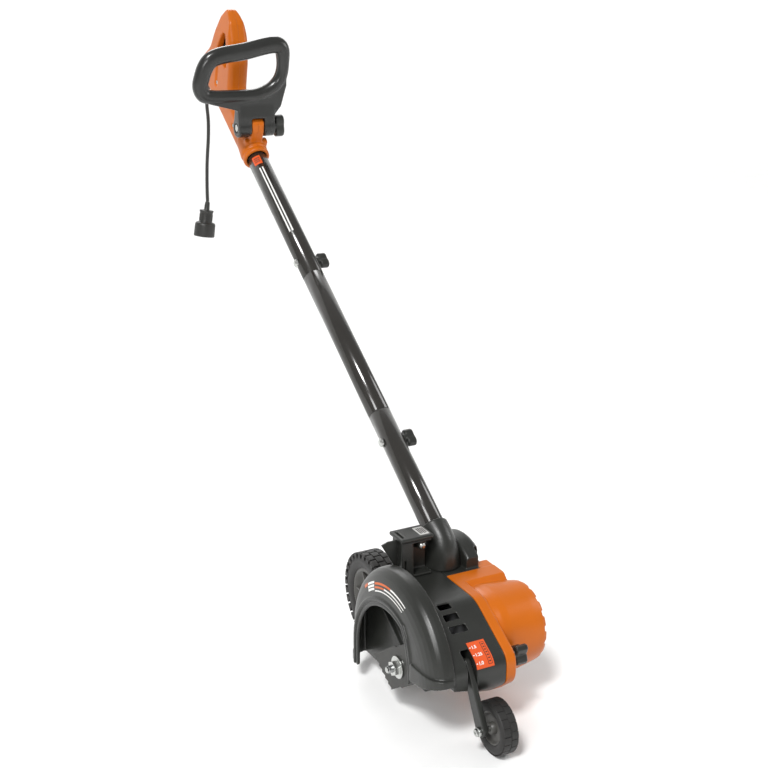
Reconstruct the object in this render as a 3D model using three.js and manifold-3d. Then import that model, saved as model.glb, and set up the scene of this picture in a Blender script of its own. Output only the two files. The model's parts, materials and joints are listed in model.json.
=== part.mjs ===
// Corded lawn edger: blade head on two in-line wheels, three-piece pole, rear loop handle with
// trigger, and a tilting front handle. Millimetres, +Z up, ground at Z = 0. The edger travels
// towards -Y, the blade is on the -X side and the motor on the +X side.
import * as THREE from 'three';
import { mergeVertices } from 'three/addons/utils/BufferGeometryUtils.js';
import Module from 'manifold-3d';

const wasm = await Module();
wasm.setup();

// ---------------------------------------------------------------- driving dimensions
const GAP = 0.3;                 // clearance left between touching pieces
const RUN = 0.35;                // radial clearance of turning pieces
const BLADE_Z = 93;              // height of the blade axis with the depth arm fully down
const BLADE_THICKNESS = 2.5;
const GUARD_CENTRE_Y = 15;
const GUARD_R = 150;
const GUARD_WALL = 3.2;
const GUARD_FACE_X = -8;
const GUARD_BACK_X = 28;
const HOUSING_END_X = 122;       // seam between the black gear housing and the orange motor cover
const FLANGE_END_X = 141;
const MOTOR_END_X = 232;
const DECK_Z = 196;              // flat top of the head
const WALL = 3;
const GEAR_MODULE = 1.2;
const GEAR_TEETH = 48;
const PINION_TEETH = 9;
const GEAR_X0 = 70;
const GEAR_X1 = 82;
const MOTOR_Y = -8;
const REAR_WHEEL = { r: 82.7, y: 250, x0: 66, x1: 105 };
const FRONT_WHEEL = { r: 43.3, y: -151, x0: 75, x1: 104 };
const ARM_PIVOT = { y: -104, z: 129.5 };
const POLE_X = 135;
const POLE_FOOT_Y = 130;         // a point on the pole axis, where the distances along it start
const POLE_FOOT_Z = 255;
const POLE_TILT = 35;            // degrees above the ground
const TUBE_R = 20;
const TUBE_WALL = 1.8;
const JOINT_LOW = 239;           // places along the pole
const JOINT_HIGH = 570;
const COLLAR_START = 893;
const TUBE_TOP = 948;
const HANDLE_HALF = 21;          // half the width of the rear handle
const AUX_PIVOT = { s: 932.5, n: 50 };
const AUX_TILT = -10;            // degrees that the front handle leans forward from upright
const CORD_R = 3.7;
// The origin is the middle of the part's foot print, cord and plug left out.
const ORIGIN = new THREE.Vector3(106, 467.85, 0);

const MOTOR_Z = BLADE_Z + Math.sqrt(((GEAR_TEETH + PINION_TEETH) * GEAR_MODULE / 2) ** 2 - MOTOR_Y ** 2);

// ---------------------------------------------------------------- materials
function finish(color, roughness, metalness = 0) {
  return new THREE.MeshStandardMaterial({ color, roughness, metalness });
}
const BLACK = finish('#3a3b37', 0.55);
const ORANGE = finish('#d9661f', 0.45);
const TUBE_PAINT = finish('#35322d', 0.25, 0.3);
const TYRE = finish('#2e2c2a', 0.85);
const HUB = finish('#4b4a44', 0.6);
const ZINC = finish('#b9bcb8', 0.3, 0.9);
const STEEL = finish('#8b8d8c', 0.35, 0.9);
const BLADE_STEEL = finish('#3f403b', 0.45, 0.6);
const CAST = finish('#a4a6a6', 0.55, 0.7);
const COPPER = finish('#a9592f', 0.4, 0.8);
const BRASS = finish('#b79a52', 0.35, 0.9);
const RUBBER = finish('#201f1e', 0.8);
const PALE = finish('#8e8a80', 0.6);

// ---------------------------------------------------------------- shape helpers
// A closed three.js geometry as a solid, with its shared vertices merged and its faces out.
function solid(geometry) {
  const bare = geometry.index ? geometry.toNonIndexed() : geometry.clone();
  for (const name of Object.keys(bare.attributes)) {
    if (name !== 'position') bare.deleteAttribute(name);
  }
  const merged = mergeVertices(bare, 1e-3);
  const points = merged.attributes.position.array;
  const kept = [];
  let volume = 0;
  for (let i = 0; i < merged.index.count; i += 3) {
    const [a, b, c] = [0, 1, 2].map((k) => merged.index.getX(i + k));
    if (a === b || b === c || c === a) continue;
    kept.push([a, b, c]);
    const [p, q, r] = [a, b, c].map((k) => new THREE.Vector3().fromArray(points, 3 * k));
    volume += p.dot(q.cross(r));
  }
  const triangles = kept.flatMap(([a, b, c]) => (volume < 0 ? [a, c, b] : [a, b, c]));
  return new wasm.Manifold(new wasm.Mesh({
    numProp: 3,
    vertProperties: new Float32Array(points),
    triVerts: new Uint32Array(triangles),
  }));
}

function piece(name, body, material, parent) {
  const mesh = body.getMesh();
  const geometry = new THREE.BufferGeometry();
  geometry.setAttribute('position', new THREE.BufferAttribute(new Float32Array(mesh.vertProperties), 3));
  geometry.setIndex(new THREE.BufferAttribute(new Uint32Array(mesh.triVerts), 1));
  geometry.computeVertexNormals();
  const object = new THREE.Mesh(geometry, material.clone());
  object.name = name;
  parent.add(object);
  return object;
}

const join = (first, ...others) => others.reduce((sum, next) => sum.add(next), first);
const cut = (first, ...others) => others.reduce((rest, next) => rest.subtract(next), first);

// Plane figures are drawn with Y across and Z up, and their depth runs along X.
const FIGURE_TO_WORLD = new THREE.Matrix4().makeBasis(
  new THREE.Vector3(0, 1, 0), new THREE.Vector3(0, 0, 1), new THREE.Vector3(1, 0, 0));

// A polygon whose corners are rounded; each corner is [y, z, radius].
function rounded(corners, Kind = THREE.Shape) {
  const outline = new Kind();
  corners.forEach(([y, z, radius = 0], i) => {
    const here = new THREE.Vector2(y, z);
    const before = new THREE.Vector2(...corners[(i + corners.length - 1) % corners.length]).sub(here);
    const after = new THREE.Vector2(...corners[(i + 1) % corners.length]).sub(here);
    const turn = Math.abs(before.angleTo(after));
    const back = Math.min(radius / Math.tan(turn / 2), before.length() * 0.49, after.length() * 0.49);
    const start = here.clone().addScaledVector(before.normalize(), back);
    const end = here.clone().addScaledVector(after.normalize(), back);
    if (i === 0) outline.moveTo(start.x, start.y);
    else outline.lineTo(start.x, start.y);
    if (back > 0) outline.quadraticCurveTo(y, z, end.x, end.y);
  });
  outline.closePath();
  return outline;
}

// The same polygon with every side moved inwards; its corners run anticlockwise.
function inset(corners, distance) {
  return corners.map(([y, z, radius = 0], i) => {
    const here = new THREE.Vector2(y, z);
    const into = here.clone().sub(new THREE.Vector2(...corners[(i + corners.length - 1) % corners.length]));
    const out = new THREE.Vector2(...corners[(i + 1) % corners.length]).sub(here);
    const n1 = new THREE.Vector2(-into.y, into.x).normalize();
    const n2 = new THREE.Vector2(-out.y, out.x).normalize();
    const mid = n1.clone().add(n2).divideScalar(1 + n1.dot(n2)).multiplyScalar(distance);
    return [y + mid.x, z + mid.y, Math.max(radius - distance, 0)];
  });
}

function extrudeX(shape, x0, x1, bevel = 0, curveSegments = 4, bevelSegments = 1) {
  const geometry = new THREE.ExtrudeGeometry(shape, {
    depth: x1 - x0 - 2 * bevel,
    bevelEnabled: bevel > 0,
    bevelThickness: bevel,
    bevelSize: bevel,
    bevelOffset: -bevel,
    bevelSegments,
    curveSegments,
  });
  geometry.translate(0, 0, x0 + bevel);
  geometry.applyMatrix4(FIGURE_TO_WORLD);
  return solid(geometry);
}

// A body turned about an axis along X; the profile is a list of [radius, x].
function turned(profile, y, z, segments = 28) {
  const geometry = new THREE.LatheGeometry(profile.map(([r, x]) => new THREE.Vector2(r, x)), segments);
  geometry.rotateZ(-Math.PI / 2);
  geometry.translate(0, y, z);
  return solid(geometry);
}

function rod(r, x0, x1, y, z, segments = 20) {
  return turned([[0, x0], [r, x0], [r, x1], [0, x1]], y, z, segments);
}

function ring(rIn, rOut, x0, x1, y, z, segments = 24) {
  return turned([[rIn, x0], [rOut, x0], [rOut, x1], [rIn, x1], [rIn, x0]], y, z, segments);
}

function hexagon(acrossFlats, x0, x1, y, z) {
  return rod(acrossFlats / Math.sqrt(3), x0, x1, y, z, 6);
}

function block(x0, x1, y0, y1, z0, z1) {
  const geometry = new THREE.BoxGeometry(x1 - x0, y1 - y0, z1 - z0);
  geometry.translate((x0 + x1) / 2, (y0 + y1) / 2, (z0 + z1) / 2);
  return solid(geometry);
}

// A body lofted along X through squared circles {x, y, z, r, p}; p = 2 is a true circle.
function loft(sections, segments = 32) {
  const points = [];
  const index = [];
  for (const { x, y, z, r, p = 2 } of sections) {
    for (let k = 0; k < segments; k += 1) {
      const a = (2 * Math.PI * k) / segments;
      const reach = r / (Math.abs(Math.cos(a)) ** p + Math.abs(Math.sin(a)) ** p) ** (1 / p);
      points.push(x, y + reach * Math.cos(a), z + reach * Math.sin(a));
    }
  }
  const last = sections.length - 1;
  for (let s = 0; s < last; s += 1) {
    for (let k = 0; k < segments; k += 1) {
      const a = s * segments + k;
      const b = s * segments + (k + 1) % segments;
      index.push(a, b, b + segments, a, b + segments, a + segments);
    }
  }
  for (const [s, flip] of [[0, true], [last, false]]) {
    for (let k = 1; k < segments - 1; k += 1) {
      const [a, b, c] = [s * segments, s * segments + k, s * segments + k + 1];
      index.push(...(flip ? [a, c, b] : [a, b, c]));
    }
  }
  const geometry = new THREE.BufferGeometry();
  geometry.setAttribute('position', new THREE.Float32BufferAttribute(points, 3));
  geometry.setIndex(index);
  return solid(geometry);
}

// A straight-toothed gear; backlash narrows each tooth.
function gear(teeth, x0, x1, y, z, backlash, phase = 0) {
  const pitchR = (teeth * GEAR_MODULE) / 2;
  const step = (2 * Math.PI) / teeth;
  const half = step / 4 - backlash / (2 * pitchR);
  const tipR = pitchR + 0.85 * GEAR_MODULE;
  const rootR = pitchR - 1.15 * GEAR_MODULE;
  const outline = new THREE.Shape();
  for (let k = 0; k < teeth; k += 1) {
    const middle = phase + k * step;
    const corners = [[rootR, -1.5 * half], [tipR, -0.45 * half], [tipR, 0.45 * half], [rootR, 1.5 * half]];
    for (const [r, turn] of corners) {
      const [a, b] = [r * Math.cos(middle + turn), r * Math.sin(middle + turn)];
      if (k === 0 && turn === -1.5 * half) outline.moveTo(y + a, z + b);
      else outline.lineTo(y + a, z + b);
    }
  }
  outline.closePath();
  return extrudeX(outline, x0, x1);
}

// A hand knob with a hub and two or three grip lobes, on an axis along X; turn is in degrees.
function knob(r, x0, x1, y, z, lobes, bore, turn = 0) {
  const start = THREE.MathUtils.degToRad(turn);
  const points = [];
  const count = 18;
  for (let k = 0; k < count; k += 1) {
    const a = (2 * Math.PI * k) / count;
    const reach = r * (0.72 + 0.28 * Math.cos(lobes * a));
    points.push(new THREE.Vector2(y + reach * Math.cos(a + start), z + reach * Math.sin(a + start)));
  }
  const grip = extrudeX(new THREE.Shape(points), x0 + 4, x1, 2);
  return cut(join(rod(r * 0.45, x0, x1 - 2, y, z), grip), rod(bore, x0 - 1, x1 - 4, y, z, 16));
}

// ---------------------------------------------------------------- groups
const edger = new THREE.Group();
edger.position.copy(ORIGIN).negate();
const pole = new THREE.Group();
pole.position.set(POLE_X, POLE_FOOT_Y, POLE_FOOT_Z);
pole.rotation.x = THREE.MathUtils.degToRad(POLE_TILT);
edger.add(pole);

// A point given along the pole (s) and square to it (n, forward and up).
function onPole(s, n, x = POLE_X) {
  const tilt = THREE.MathUtils.degToRad(POLE_TILT);
  return new THREE.Vector3(x,
    POLE_FOOT_Y + s * Math.cos(tilt) - n * Math.sin(tilt),
    POLE_FOOT_Z + s * Math.sin(tilt) + n * Math.cos(tilt));
}

// ---------------------------------------------------------------- blade guard
function guardSection(shrink) {
  const r = GUARD_R - shrink;
  const face = GUARD_FACE_X + shrink;
  const back = GUARD_BACK_X - shrink;
  return [[r - 26, face], [r - 13, face + 4.5], [r - 4, face + 12], [r, face + 22], [r, back]];
}

function guardBody(shrink, legBottom) {
  const section = guardSection(shrink);
  const faceX = section[0][1];
  const backX = section[4][1];
  const drum = turned([[0, faceX], ...section, [0, backX]], GUARD_CENTRE_Y, BLADE_Z, 64);
  const leg = new THREE.Shape([
    new THREE.Vector2(faceX, 60),
    ...section.map(([r, x]) => new THREE.Vector2(x, GUARD_CENTRE_Y + r)),
    new THREE.Vector2(backX, 60),
  ]);
  const legGeometry = new THREE.ExtrudeGeometry(leg, { depth: BLADE_Z - legBottom, bevelEnabled: false });
  legGeometry.translate(0, 0, legBottom);
  return join(drum, solid(legGeometry));
}

function bladeGuard() {
  const mouthR = 106;
  const mouthY = 22;
  const mouthZ = BLADE_Z - 17;
  const mouth = join(
    rod(mouthR, -30, 10, mouthY, mouthZ, 56),
    block(-30, 10, mouthY - mouthR, mouthY + mouthR, -20, mouthZ),
  );
  const below = extrudeX(rounded([
    [-200, 115], [-200, -60], [220, -60], [220, 32], [130, 32], [112, 50], [-56, 72], [-66, 115],
  ]), -40, 60);
  const shell = cut(guardBody(0, 20), guardBody(GUARD_WALL, 10), mouth, below);
  const bore = rod(22, 20, 40, 0, BLADE_Z);
  piece('blade_guard', cut(shell, bore), BLACK, edger);
}

// ---------------------------------------------------------------- gear housing
// The head's outline, seen along X: flat deck, sloping brow, rounded nose, open at no side.
const HEAD = [
  [106, DECK_Z, 12], [-25, DECK_Z, 60], [-124, 139, 30], [-124, 96, 30], [-80, 59, 30], [70, 57, 30],
  [106, 90, 30],
];

function ventSlots() {
  return [-26, -46, -65].map((y, i) => {
    const slot = new THREE.BoxGeometry(22 + 3 * i, 10, 16);
    slot.rotateX(THREE.MathUtils.degToRad(30));
    slot.translate(68 + i, y, DECK_Z + (y + 25) * 0.576);
    return solid(slot);
  });
}

// The head's underside rises towards the blade; this is the wedge that is missing below it.
function undersideWedge(lift) {
  const outline = new THREE.Shape([[15, 30], [15, 109 + lift], [60, 97 + lift], [121, 60 + lift], [121, 30]]
    .map(([x, z]) => new THREE.Vector2(x, z)));
  const geometry = new THREE.ExtrudeGeometry(outline, { depth: 160, bevelEnabled: false });
  geometry.rotateX(Math.PI / 2);
  geometry.translate(0, -36 + lift, 0);
  return solid(geometry);
}

function gearHousing() {
  const outer = cut(extrudeX(rounded(HEAD), GUARD_BACK_X + GAP, HOUSING_END_X - GAP), undersideWedge(0));
  const hollow = cut(extrudeX(rounded(inset(HEAD, WALL)), GUARD_BACK_X + GAP + 3.5, HOUSING_END_X + 10),
    undersideWedge(WALL));
  const boss = ring(17.5 + GAP, 22, 31, 44, 0, BLADE_Z);
  const pocketWalls = block(50, 73, -125, -58, 50, 158).intersect(outer);
  const pocket = block(53.5, 69.5, -140, -61.5, 30, 154.5);
  const body = cut(
    join(cut(outer, hollow), boss, pocketWalls),
    pocket,
    rod(10, 20, 36, 0, BLADE_Z),
    rod(4.4, 40, 84, ARM_PIVOT.y, ARM_PIVOT.z, 16),
    ...ventSlots(),
  );
  piece('gear_housing', body, BLACK, edger);
}

function bearingPlate() {
  const shape = rounded(inset(HEAD, WALL + 6));
  const plate = extrudeX(shape, 96, 99);
  const body = cut(
    join(plate, rod(22, 98, 112, 0, BLADE_Z), rod(18, 98, 112, MOTOR_Y, MOTOR_Z)),
    rod(17.5 + GAP, 100, 120, 0, BLADE_Z),
    rod(9, 90, 120, 0, BLADE_Z),
    rod(13 + GAP, 101, 120, MOTOR_Y, MOTOR_Z),
    rod(6, 90, 120, MOTOR_Y, MOTOR_Z),
    block(90, 120, -140, -92, 100, 150),
    undersideWedge(WALL + 6),
  );
  piece('bearing_plate', body, CAST, edger);
}

function bearing(name, rIn, rOut, x0, x1, y, z) {
  piece(name, ring(rIn, rOut, x0, x1, y, z, 20), STEEL, edger);
}

// ---------------------------------------------------------------- motor cover
const BARREL = [
  { x: 136, y: -8, z: 119, r: 77, p: 2.7 },
  { x: 150, y: -8, z: 121, r: 75, p: 2.6 },
  { x: 176, y: -8, z: 123.5, r: 71, p: 2.3 },
  { x: 212, y: -8, z: 124.5, r: 68, p: 2.1 },
  { x: 227, y: -8, z: 124.5, r: 66, p: 2 },
  { x: MOTOR_END_X, y: -8, z: 124.5, r: 62, p: 2 },
];
const DECK_SEAM_Y = 64;

function motorCover() {
  const flange = extrudeX(rounded(HEAD), HOUSING_END_X + GAP, FLANGE_END_X, 3).intersect(
    block(HOUSING_END_X, FLANGE_END_X, -140, DECK_SEAM_Y, 0, 250));
  const flangeHollow = extrudeX(rounded(inset(HEAD, WALL)), HOUSING_END_X - 10, FLANGE_END_X - WALL)
    .intersect(block(100, FLANGE_END_X, -140, DECK_SEAM_Y + 5, 0, 250));
  const barrel = loft(BARREL);
  const barrelHollow = loft(BARREL.map((s, i) => ({
    ...s, r: s.r - WALL, x: i === 0 ? FLANGE_END_X - WALL - 0.1 : s.x + (i === BARREL.length - 1 ? 5 : 0),
  })));
  const deck = extrudeX(rounded([[DECK_SEAM_Y, DECK_Z, 4], [24, DECK_Z, 8], [18, 150, 0], [DECK_SEAM_Y, 150, 0]]),
    FLANGE_END_X - 8, 214, 2);
  const deckHollow = block(FLANGE_END_X - 6, 210, 28, DECK_SEAM_Y - WALL, 140, DECK_Z - WALL);
  const tongue = block(188, 214, DECK_SEAM_Y - 6, 88, DECK_Z - 8, DECK_Z - 0.5);
  const notches = [];
  for (let k = 0; k < 16; k += 1) {
    const notch = new THREE.BoxGeometry(9, 12, 9);
    notch.translate(0, 64, 0);
    notch.rotateX(((k + 0.5) / 16) * 2 * Math.PI);
    notch.translate(MOTOR_END_X, MOTOR_Y, 124.5);
    notches.push(solid(notch));
  }
  const shell = cut(join(flange, barrel, deck, tongue), flangeHollow, barrelHollow, deckHollow,
    rod(4.4, 110, 150, ARM_PIVOT.y, ARM_PIVOT.z, 16), ...notches);
  piece('motor_cover', shell, ORANGE, edger);
}

function motorEndCap() {
  const disc = rod(62.2, 219, 223, MOTOR_Y, 124.5, 48);
  const seat = rod(15, 214, 222, MOTOR_Y, MOTOR_Z);
  const slots = [];
  for (let k = 0; k < 10; k += 1) {
    const slot = new THREE.BoxGeometry(20, 26, 5);
    slot.translate(0, 40, 0);
    slot.rotateX((k / 10) * 2 * Math.PI);
    slot.translate(220, MOTOR_Y, 124.5);
    slots.push(solid(slot));
  }
  const body = cut(join(disc, seat), rod(11 + GAP, 210, 221, MOTOR_Y, MOTOR_Z), ...slots);
  piece('motor_end_cap', body, ORANGE, edger);
}

function rearHousing() {
  const start = DECK_SEAM_Y + GAP;
  const corners = [[112, DECK_Z - 0.2, 10], [start, DECK_Z - 0.2, 0], [start, 70, 0], [98, 66, 14], [112, 84, 20]];
  const trunk = extrudeX(rounded(corners), HOUSING_END_X + GAP, 200, 0);
  const trunkHollow = extrudeX(rounded(inset(corners, WALL)), HOUSING_END_X + GAP + WALL, 200 - WALL)
    .add(block(HOUSING_END_X + GAP + WALL, 200 - WALL, start - 5, start + 5, 80, 184));
  const dome = turned([[0, 164], [84, 164], [88, 168], [88, 190], [84, 196], [0, 196]], 126, 147, 40)
    .intersect(block(150, 210, start + 6, 230, 66, 260));
  const domeHollow = turned([[0, 167], [84, 167], [84, 193], [0, 193]], 126, 147, 40)
    .intersect(block(150, 210, start + 6 + WALL, 230, 66 + WALL, 260));
  const grown = loft(BARREL.map((s) => ({ ...s, r: s.r + 1 })));
  const body = cut(join(trunk, dome), trunkHollow, domeHollow, grown,
    block(187.5, 230, start - 10, 88.4, DECK_Z - 9, 230));
  piece('rear_housing', body, BLACK, edger);
}

// ---------------------------------------------------------------- pole socket and bracket
function poleSocket() {
  const tilt = THREE.MathUtils.degToRad(POLE_TILT);
  const sleeve = new THREE.LatheGeometry([[0, -190], [28, -190], [27, -60], [24.5, 8], [23, 12], [0, 12]]
    .map(([r, s]) => new THREE.Vector2(r, s)), 40);
  const bore = new THREE.CylinderGeometry(TUBE_R + GAP, TUBE_R + GAP, 100, 40);
  const put = (geometry) => {
    geometry.rotateX(tilt);
    geometry.translate(POLE_X, POLE_FOOT_Y, POLE_FOOT_Z);
    return solid(geometry);
  };
  const web = extrudeX(rounded([[90, DECK_Z - 5, 0], [156, DECK_Z - 5, 0], [156, 262, 0]]),
    POLE_X - 12, POLE_X + 12);
  const keep = extrudeX(rounded([
    [172, DECK_Z + GAP, 0], [172, 330, 0], [124, 330, 0], [124, 300, 0], [96, 262, 40], [76, 244, 26],
    [76, DECK_Z + GAP, 0],
  ]), 90, 180);
  const body = cut(join(put(sleeve), web).intersect(keep), put(bore));
  piece('pole_socket', body, BLACK, edger);
}

function bracket() {
  const shape = [[118, DECK_Z + GAP, 0], [118, 262, 5], [84, 262, 5], [82, DECK_Z + GAP, 0]];
  const boxBody = extrudeX(rounded(shape.slice().reverse()), 50, 105, 2);
  const recess = block(58, 98, 70, 100, 206, 254);
  piece('deflector_bracket', cut(boxBody, recess), BLACK, edger);
  const lidShape = [[78, 262 + GAP, 2.4], [122, 262 + GAP, 2.4], [122, 269, 2.4], [78, 269, 2.4]];
  const lid = extrudeX(rounded(lidShape), 46, 106, 1.5);
  piece('bracket_lid', cut(lid, block(52, 56, 86, 112, 265, 280)), BLACK, edger);
  const fin = new THREE.Shape([[20, 258], [32, 261.8], [49.7, 261.8], [49.7, 214], [45, 214]]
    .map(([x, z]) => new THREE.Vector2(x, z)));
  const finGeometry = new THREE.ExtrudeGeometry(fin, { depth: 3, bevelEnabled: false });
  finGeometry.rotateX(Math.PI / 2);
  finGeometry.translate(0, 101, 0);
  piece('side_deflector', solid(finGeometry), BLACK, edger);
}

// ---------------------------------------------------------------- blade drive
function bladeOutline() {
  const along = new THREE.Vector2(0.828, -0.561);
  const across = new THREE.Vector2(0.561, 0.828);
  const teeth = 6;
  const tip = [83.5, 32];
  const heel = [50, -31];
  const half = [];
  for (let k = 0; k < teeth; k += 1) {
    const t = k / teeth;
    const end = (k + 0.7) / teeth;
    half.push([tip[0] + (heel[0] - tip[0]) * t, tip[1] + (heel[1] - tip[1]) * t]);
    half.push([tip[0] + (heel[0] - tip[0]) * end - 4, tip[1] + (heel[1] - tip[1]) * end]);
  }
  half.push(heel, [11, -31], [8, -33]);
  const all = [...half, ...half.map(([a, b]) => [-a, -b])];
  return new THREE.Shape(all.map(([a, b]) => new THREE.Vector2(0, BLADE_Z)
    .addScaledVector(along, a).addScaledVector(across, b)));
}

function bladeDrive() {
  const half = BLADE_THICKNESS / 2;
  const blade = cut(extrudeX(bladeOutline(), -half, half), rod(6.3, -5, 5, 0, BLADE_Z));
  piece('blade', blade, BLADE_STEEL, edger);
  const spindle = turned([
    [0, -20], [5, -20], [6, -19], [6, half + GAP], [8, half + GAP], [8, 66], [8, 110], [0, 110],
  ], 0, BLADE_Z, 24);
  piece('spindle', spindle, STEEL, edger);
  piece('inner_flange', ring(8 + GAP, 19, half + GAP, 7, 0, BLADE_Z), ZINC, edger);
  const nut = cut(
    join(rod(18.5, -4.2, -1.6, 0, BLADE_Z, 32), hexagon(22, -13, -3, 0, BLADE_Z)),
    rod(6 + GAP, -20, 5, 0, BLADE_Z),
  );
  piece('flange_nut', nut, ZINC, edger);
  const wheel = cut(gear(GEAR_TEETH, GEAR_X0, GEAR_X1, 0, BLADE_Z, 0.5), rod(8 + GAP, 60, 90, 0, BLADE_Z));
  piece('drive_gear', wheel, STEEL, edger);
  bearing('spindle_bearing_outer', 8 + RUN, 17.5, 34.5, 44, 0, BLADE_Z);
  bearing('spindle_bearing_inner', 8 + RUN, 17.5, 100.5, 110, 0, BLADE_Z);
}

// ---------------------------------------------------------------- motor
function motor() {
  const axis = [MOTOR_Y, MOTOR_Z];
  const shaft = turned([[0, 62], [2.5, 62], [2.5, 88], [5, 88], [5, 220.7], [0, 220.7]], ...axis, 20);
  piece('motor_shaft', shaft, STEEL, edger);
  // The pinion's tooth gap faces the gear's tooth along the line between the two axes.
  const towards = Math.atan2(BLADE_Z - MOTOR_Z, -MOTOR_Y);
  const gearStep = (2 * Math.PI) / GEAR_TEETH;
  const lineFromGear = towards + Math.PI;
  const gearOffset = lineFromGear - Math.round(lineFromGear / gearStep) * gearStep;
  const phase = towards + Math.PI / PINION_TEETH + (gearOffset * GEAR_TEETH) / PINION_TEETH;
  const pinion = gear(PINION_TEETH, GEAR_X0 - 1, GEAR_X1 + 1, ...axis, 0.5, phase);
  piece('pinion', cut(pinion, rod(2.5 + GAP, 60, 90, ...axis, 20)), STEEL, edger);
  const blades = [];
  for (let k = 0; k < 9; k += 1) {
    const vane = new THREE.BoxGeometry(9, 26, 2);
    vane.translate(126.4, 33, 0);
    vane.rotateX((k / 9) * 2 * Math.PI);
    vane.translate(0, ...axis);
    blades.push(solid(vane));
  }
  const fan = cut(join(rod(47, 119, 122, ...axis, 36), rod(12, 119, 131, ...axis), ...blades),
    rod(5 + GAP, 110, 140, ...axis, 20));
  piece('cooling_fan', fan, PALE, edger);
  const poles = [];
  for (let k = 0; k < 12; k += 1) {
    const slot = new THREE.BoxGeometry(60, 5, 2.6);
    slot.translate(170, 25, 0);
    slot.rotateX((k / 12) * 2 * Math.PI);
    slot.translate(0, ...axis);
    poles.push(solid(slot));
  }
  const core = cut(rod(26, 148, 192, ...axis, 36), rod(5 + GAP, 140, 200, ...axis, 20), ...poles);
  piece('armature', core, COPPER, edger);
  piece('commutator', ring(5 + GAP, 13, 197, 210, ...axis, 20), BRASS, edger);
  const stator = cut(rod(50, 149, 191, MOTOR_Y, 124.5, 40), rod(27.5, 140, 200, ...axis, 36),
    block(140, 200, -70, -48, 80, 170), block(140, 200, 32, 60, 80, 170));
  piece('stator', stator, STEEL, edger);
  for (const [name, side] of [['brush_holder_front', -1], ['brush_holder_rear', 1]]) {
    const near = MOTOR_Y + side * 13.6;
    const far = MOTOR_Y + side * 38;
    const [y0, y1] = [Math.min(near, far), Math.max(near, far)];
    piece(name, block(198, 209, y0, y1, MOTOR_Z - 5, MOTOR_Z + 5), BRASS, edger);
  }
  bearing('motor_bearing_front', 5 + RUN, 13, 101.5, 111.5, ...axis);
  bearing('motor_bearing_rear', 5 + RUN, 11, 212.5, 220.5, ...axis);
}

// ---------------------------------------------------------------- wheels
function rearWheel() {
  const { r, y, x0, x1 } = REAR_WHEEL;
  const rim = 54;
  const tyre = turned([
    [rim, x0 + 4], [r - 14, x0], [r - 4, x0 + 1], [r, x0 + 5], [r, x1 - 5], [r - 4, x1 - 1], [r - 14, x1],
    [rim, x1 - 4], [rim, x0 + 4],
  ], y, r, 40);
  piece('rear_tyre', tyre, TYRE, edger);
  const hub = turned([
    [6 + RUN, x0 + 2], [16, x0 + 2], [18, x0 + 12], [40, x0 + 14], [47, x0 + 4], [rim - GAP, x0 + 5],
    [rim - GAP, x1 - 5], [48, x1 - 5], [44, x0 + 20], [18, x0 + 18], [16, x1 - 1], [6 + RUN, x1 - 1],
    [6 + RUN, x0 + 2],
  ], y, r, 40);
  piece('rear_hub', hub, HUB, edger);
  const axle = join(rod(6, x0 + 1, 124, y, r, 20), rod(11, x0 - 3, x0 + 1.5, y, r, 24));
  piece('rear_axle', axle, ZINC, edger);
  const arm = rounded([[106.6, 150, 4], [106.6, 84, 4], [250, 66, 18], [268, 82, 18], [250, 100, 18], [150, 128, 20]]);
  const armBody = extrudeX(arm, 107, 119, 2);
  const rib = extrudeX(rounded([[106.6, 146, 2], [106.6, 88, 2], [116, 92, 2], [116, 140, 2]]), 84, 118, 1);
  const rearArm = cut(join(armBody, rib), rod(6 + GAP, 100, 130, y, r, 20));
  piece('rear_wheel_arm', rearArm, BLACK, edger);
}

function frontWheel() {
  const { r, y, x0, x1 } = FRONT_WHEEL;
  const rim = 27;
  const tyre = turned([
    [rim, x0 + 3], [r - 5, x0], [r - 1, x0 + 3], [r, x0 + 8], [r, x1 - 8], [r - 1, x1 - 3], [r - 5, x1],
    [rim, x1 - 3], [rim, x0 + 3],
  ], y, r, 32);
  piece('front_tyre', tyre, TYRE, edger);
  const hub = turned([
    [4 + RUN, x0 + 1], [9, x0 + 1], [10, x0 + 9], [20, x0 + 10], [rim - GAP, x0 + 3], [rim - GAP, x1 - 3],
    [22, x1 - 4], [20, x0 + 15], [10, x0 + 14], [9, x1 - 2], [4 + RUN, x1 - 2], [4 + RUN, x0 + 1],
  ], y, r, 32);
  piece('front_hub', hub, HUB, edger);
  const axle = join(rod(4, 55, x1 + 3, y, r, 18), rod(7.5, 54, 58.2, y, r, 20));
  piece('front_axle_bolt', axle, ZINC, edger);
  const [ay, az] = [ARM_PIVOT.y, ARM_PIVOT.z];
  const arm = rounded([[ay + 15, az + 6, 8], [ay + 2, az + 15, 8], [ay - 13, az - 4, 8], [y - 13, r + 4, 9],
    [y - 4, r - 12, 9], [y + 12, r - 3, 9]]);
  const armBody = cut(extrudeX(arm, 58.5, 68, 1), rod(4 + GAP, 50, 80, y, r, 18),
    rod(4 + RUN, 50, 80, ay, az, 18), block(50, 80, ay - 6, ay + 2, az - 30, az - 22));
  piece('depth_arm', armBody, BLACK, edger);
}

function depthLock() {
  const { y, z } = ARM_PIVOT;
  const bolt = join(rod(4, 46, 155, y, z, 18), rod(7, 45, 49.7, y, z, 20));
  piece('depth_bolt', bolt, ZINC, edger);
  piece('depth_knob', knob(19, FLANGE_END_X + 0.6, 167, y, z, 3, 4 + RUN), BLACK, edger);
}

// ---------------------------------------------------------------- pole
// Tubes run along the pole, which is the local Y axis of the pole group.
function alongPole(profile, segments = 28) {
  const geometry = new THREE.LatheGeometry(profile.map(([r, s]) => new THREE.Vector2(r, s)), segments);
  return solid(geometry);
}

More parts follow.
